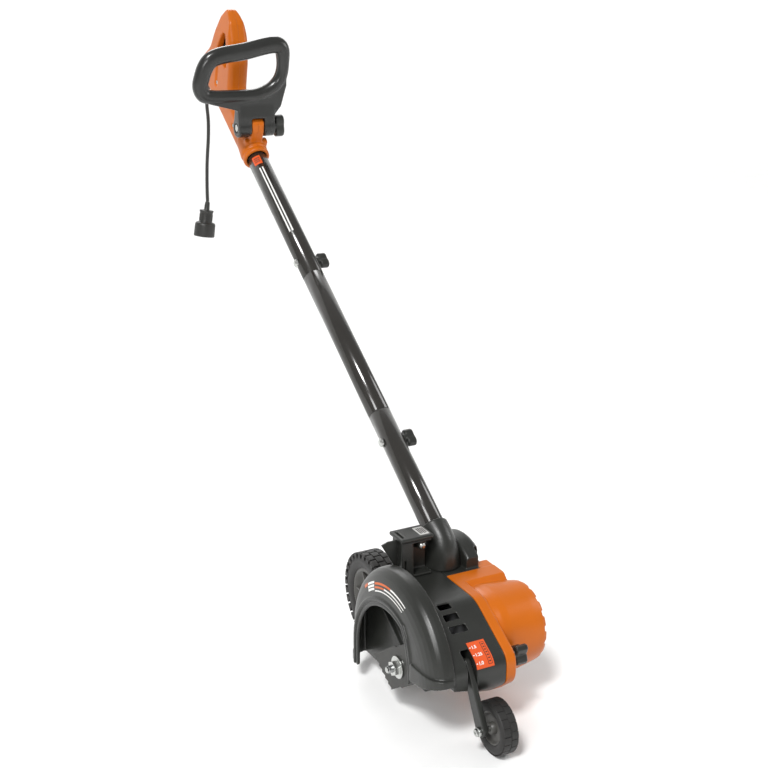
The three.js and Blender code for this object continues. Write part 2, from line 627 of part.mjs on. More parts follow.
function tubes() {
  const inner = TUBE_R - TUBE_WALL;
  const spigot = inner - GAP;
  const bore = spigot - TUBE_WALL;
  const boltLow = JOINT_LOW - 58;
  const boltHigh = JOINT_HIGH + 38;
  const hole = (s) => rod(3.4, -40, 40, s, 0, 16);
  const plain = (s0, s1) => alongPole([[inner, s0], [TUBE_R, s0], [TUBE_R, s1], [inner, s1], [inner, s0]]);
  piece('lower_tube', plain(-48, JOINT_LOW - GAP / 2).subtract(hole(boltLow)), TUBE_PAINT, pole);
  const middle = alongPole([
    [bore, JOINT_LOW - 90], [spigot, JOINT_LOW - 90], [spigot, JOINT_LOW + GAP / 2], [TUBE_R, JOINT_LOW + GAP / 2],
    [TUBE_R, JOINT_HIGH - GAP / 2], [spigot, JOINT_HIGH - GAP / 2], [spigot, JOINT_HIGH + 70],
    [bore, JOINT_HIGH + 70], [bore, JOINT_LOW - 90],
  ]);
  piece('middle_tube', cut(middle, hole(boltLow), hole(boltHigh)), TUBE_PAINT, pole);
  piece('upper_tube', plain(JOINT_HIGH + GAP / 2, TUBE_TOP).subtract(hole(boltHigh)), TUBE_PAINT, pole);
  for (const [place, s] of [['lower', boltLow], ['upper', boltHigh]]) {
    const head = turned([[0, -26.5], [5, -25.5], [8, -23.2], [8.5, -20.3], [0, -20.3]], s, 0, 24);
    piece(`${place}_carriage_bolt`, join(head, rod(3, -24, 36, s, 0, 16)), ZINC, pole);
    piece(`${place}_tube_knob`, knob(17, 20.5, 42, s, 0, 2, 3 + RUN), BLACK, pole);
  }
}

// ---------------------------------------------------------------- rear handle
const HANDLE = [
  [COLLAR_START + 8, -23, 12], [1150, -22, 60], [1198, -16, 18], [1203, 10, 24], [1174, 62, 60], [1164, 142, 14],
  [1152, 172, 16], [1112, 166, 24], [1084, 143, 30], [1058, 104, 30], [1040, 56, 30], [1012, 34, 40], [958, 30, 12],
  [940, 27, 12], [COLLAR_START + 14, 26, 12],
];
const HANDLE_HOLE = [[1110, 136, 10], [1126, 132, 10], [1137, 76, 14], [1074, 78, 14], [1080, 98, 20]];

// The loop narrows towards its rear top corner; this is the outline that it narrows to.
function handleTaper() {
  const outline = rounded([[-24, -300, 0], [24, -300, 0], [22, 26, 20], [16, 62, 14], [11, 80, 10], [-11, 80, 10],
    [-16, 62, 14], [-22, 26, 20]]);
  const geometry = new THREE.ExtrudeGeometry(outline, { depth: 600, bevelEnabled: false, curveSegments: 3 });
  geometry.translate(0, 0, -300);
  geometry.rotateX(Math.atan2(0.8, 0.6));
  geometry.translate(0, 1110, 100);
  return solid(geometry);
}

function handleSolid() {
  const body = extrudeX(rounded(HANDLE), -HANDLE_HALF, HANDLE_HALF, 7, 3, 2);
  const hole = extrudeX(rounded(HANDLE_HOLE.slice().reverse()), -60, 60);
  const c = COLLAR_START;
  const collar = alongPole([
    [0, c], [24.5, c], [27, c + 3], [27, c + 9], [25.2, c + 11], [25.2, c + 13], [27.5, c + 15],
    [27.5, c + 22], [0, 962],
  ], 28);
  const { s: ps, n: pn } = AUX_PIVOT;
  const lug = extrudeX(rounded([[ps - 20, 10, 0], [ps + 26, 10, 0], [ps + 18, pn + 6, 14], [ps + 7, pn + 20, 14],
    [ps - 9, pn + 19, 14], [ps - 17, pn, 14]]), -13, 13, 2);
  const tab = [[c + 20, -22, 6], [c + 36, -22, 6], [c + 36, 27, 6], [c + 20, 27, 6]];
  const shoulder = extrudeX(rounded(tab), -21, 26, 3, 3);
  return cut(join(cut(body, hole).intersect(handleTaper()), collar, lug, shoulder), hole);
}

function handleHollow() {
  const tubeBore = alongPole([
    [0, COLLAR_START - 5], [TUBE_R + GAP, COLLAR_START - 5], [TUBE_R + GAP, TUBE_TOP + 1], [0, TUBE_TOP + 1],
  ]);
  const channel = extrudeX(rounded([[940, -14, 0], [1190, -12, 8], [1192, 6, 10], [1162, 58, 10], [1152, 138, 8],
    [1136, 138, 8], [1144, 60, 8], [1056, 58, 8], [1030, 28, 20], [940, 14, 0]]), -15, 15);
  const bolt = rod(4 + GAP, -40, 40, AUX_PIVOT.s, AUX_PIVOT.n, 18);
  return join(tubeBore, channel, bolt);
}

function rearHandle() {
  const whole = handleSolid();
  const hollow = handleHollow();
  const triggerSlot = block(-7.5, 7.5, 1104, 1146, 74, 130);
  const reliefHole = new THREE.CylinderGeometry(6 + GAP, 6 + GAP, 40, 20);
  reliefHole.rotateX(Math.PI / 2);
  reliefHole.translate(0, RELIEF.s, -20);
  const relief = solid(reliefHole);
  const buttonHole = rod(6 + GAP, -40, 0, 1152, 40, 20);
  const pinHole = rod(2 + GAP, -12 - GAP, 12 + GAP, 1129, 122, 14);
  const holes = [hollow, triggerSlot, relief, pinHole];
  const left = cut(whole.intersect(block(-60, -GAP / 2, 800, 1300, -100, 300)), ...holes, buttonHole);
  const right = cut(whole.intersect(block(GAP / 2, 60, 800, 1300, -100, 300)), ...holes);
  piece('handle_left_shell', left, ORANGE, pole);
  piece('handle_right_shell', right, ORANGE, pole);
}

function triggerParts() {
  const shape = rounded([[1122, 128, 3], [1112, 118, 5], [1119, 84, 4], [1132, 80, 3], [1138, 86, 3], [1136, 128, 4]]);
  piece('trigger', cut(extrudeX(shape, -6.5, 6.5, 1), rod(2 + RUN, -20, 20, 1129, 122, 14)), BLACK, pole);
  piece('trigger_pin', rod(2, -12, 12, 1129, 122, 14), STEEL, pole);
  const button = turned([[0, -24.5], [5, -24.5], [6, -23.5], [6, -11], [0, -11]], 1152, 40, 20);
  piece('lock_off_button', button, BLACK, pole);
  const module = rounded([[1148, 4, 1], [1174, 4, 1], [1174, 26, 1], [1148, 26, 1]]);
  piece('switch_module', extrudeX(module, -8, 12), RUBBER, pole);
}

// ---------------------------------------------------------------- front handle
// The front handle's own frame has its origin on its pivot, X across and Z up the loop.
const AUX_LOOP = [
  [-41, 6, 0], [-40, 36, 12], [-100, 52, 24], [-128, 64, 30], [-132, 98, 24], [-103, 158, 26], [51, 186, 28],
  [64, 112, 60], [50, 42, 20], [36, 24, 0], [36, 6, 0],
];
const AUX_HOLE = [
  [-104, 82, 10], [-101, 96, 14], [-84, 136, 14], [39, 150, 14], [41, 128, 30], [30, 92, 24], [0, 82, 60],
];

function auxHandle() {
  const frame = new THREE.Group();
  const pivot = onPole(AUX_PIVOT.s, AUX_PIVOT.n);
  frame.position.copy(pivot);
  frame.rotation.x = THREE.MathUtils.degToRad(-AUX_TILT);
  edger.add(frame);
  // The loop is drawn in X and Z and made 28 deep, and both its rims are rounded.
  const loopPart = (corners, bevelSize, bevelOffset) => {
    const geometry = new THREE.ExtrudeGeometry(rounded(corners), {
      depth: 10, bevelEnabled: true, bevelThickness: 9, bevelSize, bevelOffset, bevelSegments: 2,
      curveSegments: 3,
    });
    geometry.rotateX(Math.PI / 2);
    geometry.translate(0, 5, 0);
    return solid(geometry);
  };
  const loop = loopPart(AUX_LOOP, 9, -9).subtract(loopPart(AUX_HOLE, -9, 9));
  const ears = [[-41, -13.5], [13.5, 36]].map(([x0, x1]) => join(
    rod(19, x0, x1, 0, 0, 28), block(x0, x1, -13, 13, 0, 50)));
  const gapBlock = block(-13.5, 13.5, -30, 30, -30, 23);
  const bore = rod(4 + RUN, -60, 60, 0, 0, 18);
  const recess = hexagon(14, -60, -36, 0, 0);
  const body = cut(join(loop, ...ears), gapBlock, bore, recess);
  piece('front_handle', body, BLACK, frame);
  piece('front_handle_bolt', join(rod(4, -38, 46, 0, 0, 18), hexagon(13, -40.5, -36.3, 0, 0)), ZINC, frame);
  piece('front_handle_knob', knob(22, 36.6, 59, 0, 0, 2, 4 + RUN, 80), BLACK, frame);
}

// ---------------------------------------------------------------- cord and plug
const RELIEF = { s: 1176 };
const CORD_START = onPole(RELIEF.s, -57);
const PLUG_TOP = new THREE.Vector3(POLE_X, 1159.5, 632);
const PLUG_AXIS = new THREE.Vector3(-0.168, -0.041, -1).normalize();
const CORD_ROUTE = [
  CORD_START,
  onPole(RELIEF.s, -66),
  new THREE.Vector3(POLE_X, 1139, 848),
  new THREE.Vector3(POLE_X, 1134, 813),
  new THREE.Vector3(POLE_X, 1138, 776),
  new THREE.Vector3(POLE_X, 1146, 745),
  new THREE.Vector3(POLE_X, 1153, 715),
  new THREE.Vector3(POLE_X, 1157, 685),
  new THREE.Vector3(POLE_X, 1159.5, 655),
  PLUG_TOP,
];

function cordParts() {
  const profile = [[0, -16], [8, -16], [8, -12], [6, -12], [6, 0], [7.5, 0], [7, 3], [5.2, 34], [0, 34]];
  const relief = new THREE.LatheGeometry(profile.map(([r, h]) => new THREE.Vector2(r, h)), 20);
  relief.rotateX(-Math.PI / 2);
  relief.translate(0, RELIEF.s, -22.6);
  piece('strain_relief', solid(relief), RUBBER, pole);
  const section = new THREE.Shape();
  section.absarc(0, 0, CORD_R, 0, 2 * Math.PI);
  const path = new THREE.CatmullRomCurve3(CORD_ROUTE);
  const cord = new THREE.ExtrudeGeometry(section, {
    steps: 24, curveSegments: 5, extrudePath: path, bevelEnabled: false,
  });
  piece('cord', solid(cord), RUBBER, edger);
  const plug = new THREE.Group();
  plug.position.copy(PLUG_TOP);
  plug.quaternion.setFromUnitVectors(new THREE.Vector3(0, 0, 1), PLUG_AXIS);
  edger.add(plug);
  const upright = (profile, segments = 24) => {
    const geometry = new THREE.LatheGeometry(profile.map(([r, h]) => new THREE.Vector2(r, h)), segments);
    geometry.rotateX(Math.PI / 2);
    return solid(geometry);
  };
  const shell = upright([
    [0, 1], [4.4, 1], [5.4, 4], [6.2, 19], [15.4, 19.6], [15.2, 22], [14.2, 25], [14.6, 45], [20, 47], [22.5, 51],
    [23.4, 78], [20, 78], [19.6, 58], [0, 58],
  ]);
  piece('plug_body', shell, RUBBER, plug);
  for (const [name, x] of [['plug_blade_left', -6.35], ['plug_blade_right', 6.35]]) {
    piece(name, block(x - 0.75, x + 0.75, -3.2, 3.2, 58.3, 75), BRASS, plug);
  }
}

// ---------------------------------------------------------------- assembly
bladeGuard();
gearHousing();
bearingPlate();
motorCover();
motorEndCap();
rearHousing();
poleSocket();
bracket();
bladeDrive();
motor();
rearWheel();
frontWheel();
depthLock();
tubes();
rearHandle();
triggerParts();
auxHandle();
cordParts();

export default edger;
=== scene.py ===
# Corded lawn edger: the visual model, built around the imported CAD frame.
# Shapes are given in the edger's own millimetres: X across, Y back, Z up, measured from the
# ground point below the blade spindle, and turned into the row frame's metres by at().
import json
import math

import bmesh
import bpy
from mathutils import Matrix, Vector


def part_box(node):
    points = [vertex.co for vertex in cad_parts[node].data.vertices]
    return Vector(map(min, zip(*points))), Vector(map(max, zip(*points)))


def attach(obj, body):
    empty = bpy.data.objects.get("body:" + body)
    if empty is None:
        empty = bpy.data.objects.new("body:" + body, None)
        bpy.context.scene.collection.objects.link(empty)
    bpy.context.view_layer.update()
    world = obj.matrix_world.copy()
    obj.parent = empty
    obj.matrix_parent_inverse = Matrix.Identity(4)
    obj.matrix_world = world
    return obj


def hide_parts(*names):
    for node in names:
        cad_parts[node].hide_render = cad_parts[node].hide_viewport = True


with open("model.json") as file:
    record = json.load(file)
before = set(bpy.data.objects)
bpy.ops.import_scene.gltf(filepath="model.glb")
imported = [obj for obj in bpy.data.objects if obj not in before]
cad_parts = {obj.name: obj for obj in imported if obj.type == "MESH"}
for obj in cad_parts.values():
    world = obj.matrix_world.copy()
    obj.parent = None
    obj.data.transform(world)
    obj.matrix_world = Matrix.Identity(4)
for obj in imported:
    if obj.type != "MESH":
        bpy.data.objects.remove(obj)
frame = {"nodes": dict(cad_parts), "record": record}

scene = bpy.context.scene
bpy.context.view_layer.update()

# driving values, in millimetres; the camera's angles are in degrees
MM = 0.001
CAMERA_EYE = (-893.5, -1662.4, 1190.3)
CAMERA_AZIMUTH = 27.54
CAMERA_DROP = 18.33
CAMERA_LENS = 63.2
BLADE_Z = 93
SPINDLE_START_X = -20
spindle_low, spindle_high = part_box("spindle")
DATUM = Vector((
    spindle_low.x - SPINDLE_START_X * MM,
    (spindle_low.y + spindle_high.y) / 2,
    (spindle_low.z + spindle_high.z) / 2 - BLADE_Z * MM,
))
POLE_X = 135
POLE_FOOT_Y = 130
POLE_FOOT_Z = 255
POLE_TILT = math.radians(35)
HANDLE_TILT = math.radians(10)
HANDLE_PIVOT = (932.5, 50)
TUBE_R = 20
JOINT_LOW = 239
JOINT_HIGH = 570
TUBE_TOP = 948
JOINT_GAP = 0.15
CORD_R = 3.7
WALL = 3
DECK_Z = 196
BROW_START_Y = -25
BROW_SLOPE = 0.576
CASE_X = (28.3, 121.7)
COVER_START_X = 122.3
MOTOR_Y = -8
MOTOR_Z = 124.5
ARM_PIVOT = (-104, 129.5)
REAR_WHEEL = {"r": 82.7, "y": 250, "x0": 66, "x1": 105}
FRONT_WHEEL = {"r": 43.3, "y": -151, "x0": 75, "x1": 104}


# ------------------------------------------------------------------ places
def at(x, y, z):
    """A point in the edger's own millimetres, as metres in the row frame."""
    return DATUM + Vector((x, y, z)) * MM


def on_pole(x, s, n):
    """x across from the pole's axis, s up along it, n square to it, forward and up."""
    return at(
        POLE_X + x,
        POLE_FOOT_Y + s * math.cos(POLE_TILT) - n * math.sin(POLE_TILT),
        POLE_FOOT_Z + s * math.sin(POLE_TILT) + n * math.cos(POLE_TILT),
    )


def on_front_handle(x, y, z):
    """The front handle's own frame: its pivot is the origin and z runs up the loop."""
    turned = Vector((
        x,
        y * math.cos(HANDLE_TILT) - z * math.sin(HANDLE_TILT),
        y * math.sin(HANDLE_TILT) + z * math.cos(HANDLE_TILT),
    ))
    return on_pole(0, *HANDLE_PIVOT) + turned * MM


# ------------------------------------------------------------------ camera and light
def aim(thing, place, target):
    direction = Vector(target) - Vector(place)
    thing.location = place
    thing.rotation_euler = direction.to_track_quat("-Z", "Y").to_euler()


def make_camera():
    data = bpy.data.cameras.new("camera")
    data.sensor_width = 36
    data.lens = CAMERA_LENS
    camera = bpy.data.objects.new("camera", data)
    scene.collection.objects.link(camera)
    eye = at(*CAMERA_EYE)
    azimuth = math.radians(CAMERA_AZIMUTH)
    drop = math.radians(CAMERA_DROP)
    view = Vector((
        math.sin(azimuth) * math.cos(drop),
        math.cos(azimuth) * math.cos(drop),
        -math.sin(drop),
    ))
    aim(camera, eye, eye + view)
    scene.camera = camera


def lamp(kind, name, place, target, size, power):
    data = bpy.data.lights.new(name, kind)
    data.energy = power
    if kind == "SUN":
        data.angle = math.radians(size)
    else:
        data.shape = "DISK"
        data.size = size
    light = bpy.data.objects.new(name, data)
    scene.collection.objects.link(light)
    aim(light, place, target)


def make_backdrop():
    """A pale floor that curves up into a wall far behind the edger."""
    reach = 40.0
    wall_y = 9.0
    wall_top = 12.0
    bend = 3.0
    section = [(-reach, 0.0), (wall_y - bend, 0.0)]
    for k in range(1, 17):
        a = math.pi / 2 * k / 16
        section.append((wall_y - bend + bend * math.sin(a), bend - bend * math.cos(a)))
    section.append((wall_y, wall_top))
    points = [Vector((x, y, z)) for y, z in section for x in (-reach, reach)]
    faces = [(2 * i, 2 * i + 1, 2 * i + 3, 2 * i + 2) for i in range(len(section) - 1)]
    mesh = bpy.data.meshes.new("floor")
    mesh.from_pydata([tuple(p) for p in points], [], faces)
    mesh.shade_smooth()
    floor = bpy.data.objects.new("floor", mesh)
    scene.collection.objects.link(floor)
    floor.data.materials.append(surface("floor_white", (0.93, 0.93, 0.925), 0.7, mottle=0.01, bump=0.0))


def make_studio():
    world = bpy.data.worlds.new("studio")
    world.use_nodes = True
    world.node_tree.nodes["Background"].inputs["Color"].default_value = (1, 1, 1, 1)
    world.node_tree.nodes["Background"].inputs["Strength"].default_value = 0.36
    scene.world = world
    scene.view_settings.view_transform = "Standard"
    middle = (0, 0, 0.3)
    lamp("SUN", "key", (-1.2, -1.0, 2.4), middle, 12, 2.3)
    lamp("AREA", "window", (-2.0, -2.2, 1.9), middle, 1.0, 26)
    lamp("AREA", "side", (2.4, -0.8, 1.5), middle, 1.2, 16)
    lamp("AREA", "back", (0.6, 2.4, 2.2), middle, 1.4, 24)
    make_backdrop()


# ------------------------------------------------------------------ materials
def surface(name, colour, roughness, metallic=0.0, grain=1400.0, bump=0.12, mottle=0.12,
            coat=0.0, spread=0.08, stretch=(1, 1, 1), patch=14.0, shine=0.5):
    """A procedural finish: broad colour variation, a fine grain in relief and uneven gloss."""
    relief = 0.0002
    material = bpy.data.materials.new(name)
    material.use_nodes = True
    tree = material.node_tree
    bsdf = tree.nodes["Principled BSDF"]
    place = tree.nodes.new("ShaderNodeTexCoord").outputs["Object"]
    scaled = tree.nodes.new("ShaderNodeVectorMath")
    scaled.operation = "MULTIPLY"
    scaled.inputs[1].default_value = stretch
    tree.links.new(place, scaled.inputs[0])

    broad = tree.nodes.new("ShaderNodeTexNoise")
    broad.inputs["Scale"].default_value = patch
    broad.inputs["Detail"].default_value = 5
    tree.links.new(place, broad.inputs["Vector"])
    fine = tree.nodes.new("ShaderNodeTexNoise")
    fine.inputs["Scale"].default_value = grain
    fine.inputs["Detail"].default_value = 2
    tree.links.new(scaled.outputs[0], fine.inputs["Vector"])

    ramp = tree.nodes.new("ShaderNodeValToRGB")
    ramp.color_ramp.elements[0].position = 0.3
    ramp.color_ramp.elements[1].position = 0.7
    ramp.color_ramp.elements[0].color = (*[c * (1 - mottle) for c in colour], 1)
    ramp.color_ramp.elements[1].color = (*[min(c * (1 + mottle), 1) for c in colour], 1)
    tree.links.new(broad.outputs["Fac"], ramp.inputs["Fac"])
    speck = tree.nodes.new("ShaderNodeMixRGB")
    speck.blend_type = "MULTIPLY"
    speck.inputs["Fac"].default_value = mottle
    tree.links.new(ramp.outputs["Color"], speck.inputs[1])
    tree.links.new(fine.outputs["Fac"], speck.inputs[2])
    tree.links.new(speck.outputs["Color"], bsdf.inputs["Base Color"])

    gloss = tree.nodes.new("ShaderNodeMapRange")
    gloss.inputs["To Min"].default_value = max(roughness - spread, 0.03)
    gloss.inputs["To Max"].default_value = min(roughness + spread, 1)
    tree.links.new(broad.outputs["Fac"], gloss.inputs["Value"])
    tree.links.new(gloss.outputs["Result"], bsdf.inputs["Roughness"])

    raised = tree.nodes.new("ShaderNodeBump")
    raised.inputs["Strength"].default_value = bump
    raised.inputs["Distance"].default_value = relief
    tree.links.new(fine.outputs["Fac"], raised.inputs["Height"])
    tree.links.new(raised.outputs["Normal"], bsdf.inputs["Normal"])
    bsdf.inputs["Metallic"].default_value = metallic
    bsdf.inputs["Specular IOR Level"].default_value = shine
    bsdf.inputs["Coat Weight"].default_value = coat
    bsdf.inputs["Coat Roughness"].default_value = 0.12
    return material


def make_materials():
    return {
        "black_plastic": surface("black_plastic", (0.02, 0.021, 0.0185), 0.34, bump=0.35, mottle=0.1),
        "grip_plastic": surface("grip_plastic", (0.022, 0.0225, 0.021), 0.25, bump=0.15, mottle=0.1),
        "orange_plastic": surface("orange_plastic", (0.53, 0.122, 0.005), 0.33, grain=900, bump=0.08,
                                  mottle=0.05, spread=0.05, shine=0.28),
        "tube_paint": surface("tube_paint", (0.022, 0.02, 0.017), 0.17, grain=600, bump=0.06, mottle=0.1,
                              coat=0.5),
        "tyre_rubber": surface("tyre_rubber", (0.017, 0.016, 0.015), 0.55, grain=700, bump=0.5, mottle=0.25),
        "hub_plastic": surface("hub_plastic", (0.07, 0.068, 0.062), 0.4, bump=0.3),
        "zinc_plate": surface("zinc_plate", (0.62, 0.63, 0.61), 0.24, metallic=1, grain=500, bump=0.1,
                              patch=60),
        "machined_steel": surface("machined_steel", (0.45, 0.46, 0.46), 0.3, metallic=1, bump=0.2,
                                  stretch=(1, 0.1, 0.1)),
        "blade_steel": surface("blade_steel", (0.05, 0.05, 0.046), 0.4, metallic=0.6, grain=500, bump=0.25,
                               mottle=0.3, stretch=(1, 0.15, 1), patch=40),
        "cast_alloy": surface("cast_alloy", (0.5, 0.51, 0.52), 0.5, metallic=0.9, grain=900, bump=0.4),
        "copper_winding": surface("copper_winding", (0.48, 0.17, 0.07), 0.35, metallic=0.9, grain=400,
                                  bump=0.6, stretch=(0.1, 1, 1)),
        "brass_contact": surface("brass_contact", (0.6, 0.42, 0.15), 0.28, metallic=1, bump=0.15),
        "soft_rubber": surface("soft_rubber", (0.02, 0.02, 0.018), 0.42, grain=900, bump=0.3, mottle=0.15),
        "pale_plastic": surface("pale_plastic", (0.3, 0.28, 0.24), 0.5, bump=0.3),
        "white_print": surface("white_print", (0.8, 0.8, 0.78), 0.4, bump=0.1, mottle=0.03),
        "orange_print": surface("orange_print", (0.6, 0.11, 0.01), 0.38, bump=0.1, mottle=0.05),
        "pale_print": surface("pale_print", (0.5, 0.5, 0.48), 0.4, bump=0.1, mottle=0.05),
        "dark_print": surface("dark_print", (0.03, 0.02, 0.018), 0.45, bump=0.1, mottle=0.1),
        "label_red": surface("label_red", (0.7, 0.09, 0.015), 0.35, bump=0.05, mottle=0.04, coat=0.3),
    }


# ------------------------------------------------------------------ mesh helpers
def mesh_from(name, points, faces):
    """points are Vectors in the row frame; the mesh is welded and its faces are turned out."""
    mesh = bpy.data.meshes.new(name)
    mesh.from_pydata([tuple(p) for p in points], [], faces)
    bm = bmesh.new()
    bm.from_mesh(mesh)
    bmesh.ops.remove_doubles(bm, verts=bm.verts, dist=1e-6)
    bmesh.ops.dissolve_degenerate(bm, edges=bm.edges, dist=1e-7)
    bmesh.ops.recalc_face_normals(bm, faces=bm.faces)
    bm.to_mesh(mesh)
    bm.free()
    thing = bpy.data.objects.new(name, mesh)
    scene.collection.objects.link(thing)
    return thing


def skin_rows(rows, closed_rows):
    """Quads between rows of equally many points; each row is a ring."""
    count = len(rows[0])
    faces = []
    steps = len(rows) if closed_rows else len(rows) - 1
    for i in range(steps):
        low = i * count
        high = ((i + 1) % len(rows)) * count
        for k in range(count):
            after = (k + 1) % count
            faces.append((low + k, low + after, high + after, high + k))
    if not closed_rows:
        faces.append(tuple(reversed(range(count))))
        faces.append(tuple(range((len(rows) - 1) * count, len(rows) * count)))
    return [p for row in rows for p in row], faces


def lathe(name, profile, where, segments=96):
    """Turns (radius, height) about an axis; where(u, v, h) gives the place. Radius 0 closes an end."""
    angles = [2 * math.pi * k / segments for k in range(segments)]
    rows = [[where(r * math.cos(a), r * math.sin(a), h) for a in angles] for r, h in profile]
    closed = profile[0] == profile[-1]
    if closed:
        rows = rows[:-1]
    points, faces = skin_rows(rows, closed)
    return mesh_from(name, points, faces)


def across(y, z):
    """The place function of a lathe whose axis runs along X through (y, z)."""
    return lambda u, v, h: at(h, y + u, z + v)


def along_pole(u, v, h):
    return on_pole(u, h, v)


def rounded(corners, steps=8):
    """A polygon's points, each corner (a, b, radius) replaced by a smooth curve."""
    points = []
    for i, corner in enumerate(corners):
        a, b, radius = (*corner, 0)[:3]
        here = Vector((a, b))
        before = Vector(corners[i - 1][:2]) - here
        after = Vector(corners[(i + 1) % len(corners)][:2]) - here
        turn = abs(before.angle(after))
        if radius <= 0:
            points.append(here)
            continue
        back = min(radius / math.tan(turn / 2), before.length * 0.49, after.length * 0.49)
        start = here + before.normalized() * back
        end = here + after.normalized() * back
        for k in range(steps + 1):
            t = k / steps
            points.append(start * (1 - t) ** 2 + here * 2 * t * (1 - t) + end * t * t)
    return points


def inset(corners, distance):
    """The same polygon with every side moved inwards; its corners run anticlockwise."""
    moved = []
    for i, corner in enumerate(corners):
        a, b, radius = (*corner, 0)[:3]
        into = Vector((a, b)) - Vector(corners[i - 1][:2])
        out = Vector(corners[(i + 1) % len(corners)][:2]) - Vector((a, b))
        n1 = Vector((-into.y, into.x)).normalized()
        n2 = Vector((-out.y, out.x)).normalized()
        mid = (n1 + n2) / (1 + n1.dot(n2)) * distance
        moved.append((a + mid.x, b + mid.y, max(radius - distance, 0.05) if radius else 0))
    return moved


def extrude(name, outline, start, end, where=None):
    """A plane outline given depth; where(a, b, h) gives the place, by default (y, z) along X."""
    where = where or (lambda a, b, h: at(h, a, b))
    rows = [[where(p[0], p[1], h) for p in outline] for h in (start, end)]
    points, faces = skin_rows(rows, False)
    return mesh_from(name, points, faces)


def puffed(name, corners, start, end, radius, where, steps=6):
    """An extrusion whose two rims are rounded over; the corners run anticlockwise."""
    half = [(start + radius * (1 - math.sin(a)), radius * (1 - math.cos(a)))
            for a in (math.pi / 2 * (1 - k / 5) for k in range(6))]
    ends = half + [(start + end - h, shrink) for h, shrink in reversed(half)]
    rows = [[where(p[0], p[1], h) for p in rounded(inset(corners, shrink), steps)] for h, shrink in ends]
    return mesh_from(name, *skin_rows(rows, False))


def curve_point(p0, p1, p2, p3, t):
    """A point between p1 and p2 on the smooth curve through four points."""
    return (p1 * 2 + (p2 - p0) * t + (p0 * 2 - p1 * 5 + p2 * 4 - p3) * t ** 2
            + (p1 * 3 - p0 - p2 * 3 + p3) * t ** 3) / 2


def block(name, x0, x1, y0, y1, z0, z1, where=at):
    outline = [(x0, y0), (x1, y0), (x1, y1), (x0, y1)]
    return extrude(name, outline, z0, z1, where)


def bake(thing):
    """Applies every modifier of a new piece to its mesh."""
    graph = bpy.context.evaluated_depsgraph_get()
    mesh = bpy.data.meshes.new_from_object(thing.evaluated_get(graph))
    thing.modifiers.clear()
    thing.data = mesh
    return thing


def carve(thing, operation, others):
    for other in others:
        step = thing.modifiers.new(operation, "BOOLEAN")
        step.operation = operation
        step.solver = "MANIFOLD"
        step.object = other
    bake(thing)
    for other in others:
        bpy.data.objects.remove(other)
    return thing


def add(thing, *others):
    return carve(thing, "UNION", others)


def cut(thing, *others):
    return carve(thing, "DIFFERENCE", others)


def overlap(thing, *others):
    return carve(thing, "INTERSECT", others)


def soften(thing, voxel, passes):
    """Rounds the edges of a moulding: a fine remesh, then smoothing."""
    remesh = thing.modifiers.new("remesh", "REMESH")
    remesh.mode = "VOXEL"
    remesh.voxel_size = voxel * MM
    remesh.use_smooth_shade = True
    smooth = thing.modifiers.new("smooth", "SMOOTH")
    smooth.factor = 0.5
    smooth.iterations = passes
    return thing


def bevel(thing, width):
    step = thing.modifiers.new("bevel", "BEVEL")
    step.width = width * MM
    step.segments = 2
    step.limit_method = "ANGLE"
    step.angle_limit = math.radians(40)
    return thing


def shade(thing, degrees=35):
    thing.data.shade_smooth()
    thing.data.set_sharp_from_angle(angle=math.radians(degrees))
    return thing


def place_piece(thing, body, slot, *nodes, paint=None):
    """Gives a new piece its finish and body, and hides the CAD nodes that it stands for."""
    thing.data.materials.clear()
    thing.data.materials.append(MATERIALS[paint or slot])
    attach(thing, body)
    if nodes:
        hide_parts(*nodes)
    return thing


# ------------------------------------------------------------------ CAD nodes that stay
SOFTENED = {
    "bracket_lid": (0.8, 3),
    "rear_wheel_arm": (1.2, 4), "depth_arm": (0.9, 4), "depth_knob": (0.8, 8),
    "lower_tube_knob": (0.8, 8), "upper_tube_knob": (0.8, 8), "front_handle_knob": (0.8, 8),
    "trigger": (0.6, 5),
}
BEVELLED = {"blade": 0.25, "flange_nut": 0.5, "rear_axle": 0.6, "front_axle_bolt": 0.8, "depth_bolt": 0.8,
            "lower_carriage_bolt": 0.5, "upper_carriage_bolt": 0.5, "front_handle_bolt": 0.4,
            "side_deflector": 0.8, "motor_end_cap": 0.5, "lock_off_button": 0.5}


def dress_cad_nodes():
    for row in frame["record"]["subparts"]:
        node = frame["nodes"][row["node"]]
        node.data.materials.clear()
        node.data.materials.append(MATERIALS[row["material_slot"]])
        if row["node"] in SOFTENED:
            soften(node, *SOFTENED[row["node"]])
        elif row["node"] in BEVELLED:
            weld = node.modifiers.new("weld", "WELD")
            weld.merge_threshold = 1e-6
            bevel(node, BEVELLED[row["node"]])


# ------------------------------------------------------------------ cord and plug
PLUG_TOP = at(POLE_X, 1159.5, 632)
PLUG_AXIS = Vector((-0.168, -0.041, -1)).normalized()
RELIEF_S = 1176
CORD_ROUTE = [
    on_pole(0, RELIEF_S, -57), on_pole(0, RELIEF_S, -66), at(POLE_X, 1139, 848), at(POLE_X, 1134, 813),
    at(POLE_X, 1138, 776), at(POLE_X, 1146, 745), at(POLE_X, 1153, 715), at(POLE_X, 1157, 685),
    at(POLE_X, 1159.5, 655), PLUG_TOP,
]


def smooth_route(points, steps):
    """Points on a curve through the given ones."""
    route = []
    for i in range(len(points) - 1):
        p0 = points[i - 1] if i else points[0] * 2 - points[1]
        p1, p2 = points[i], points[i + 1]
        p3 = points[i + 2] if i + 2 < len(points) else p2 * 2 - p1
        for k in range(steps):
            route.append(curve_point(p0, p1, p2, p3, k / steps))
    return route + [points[-1]]


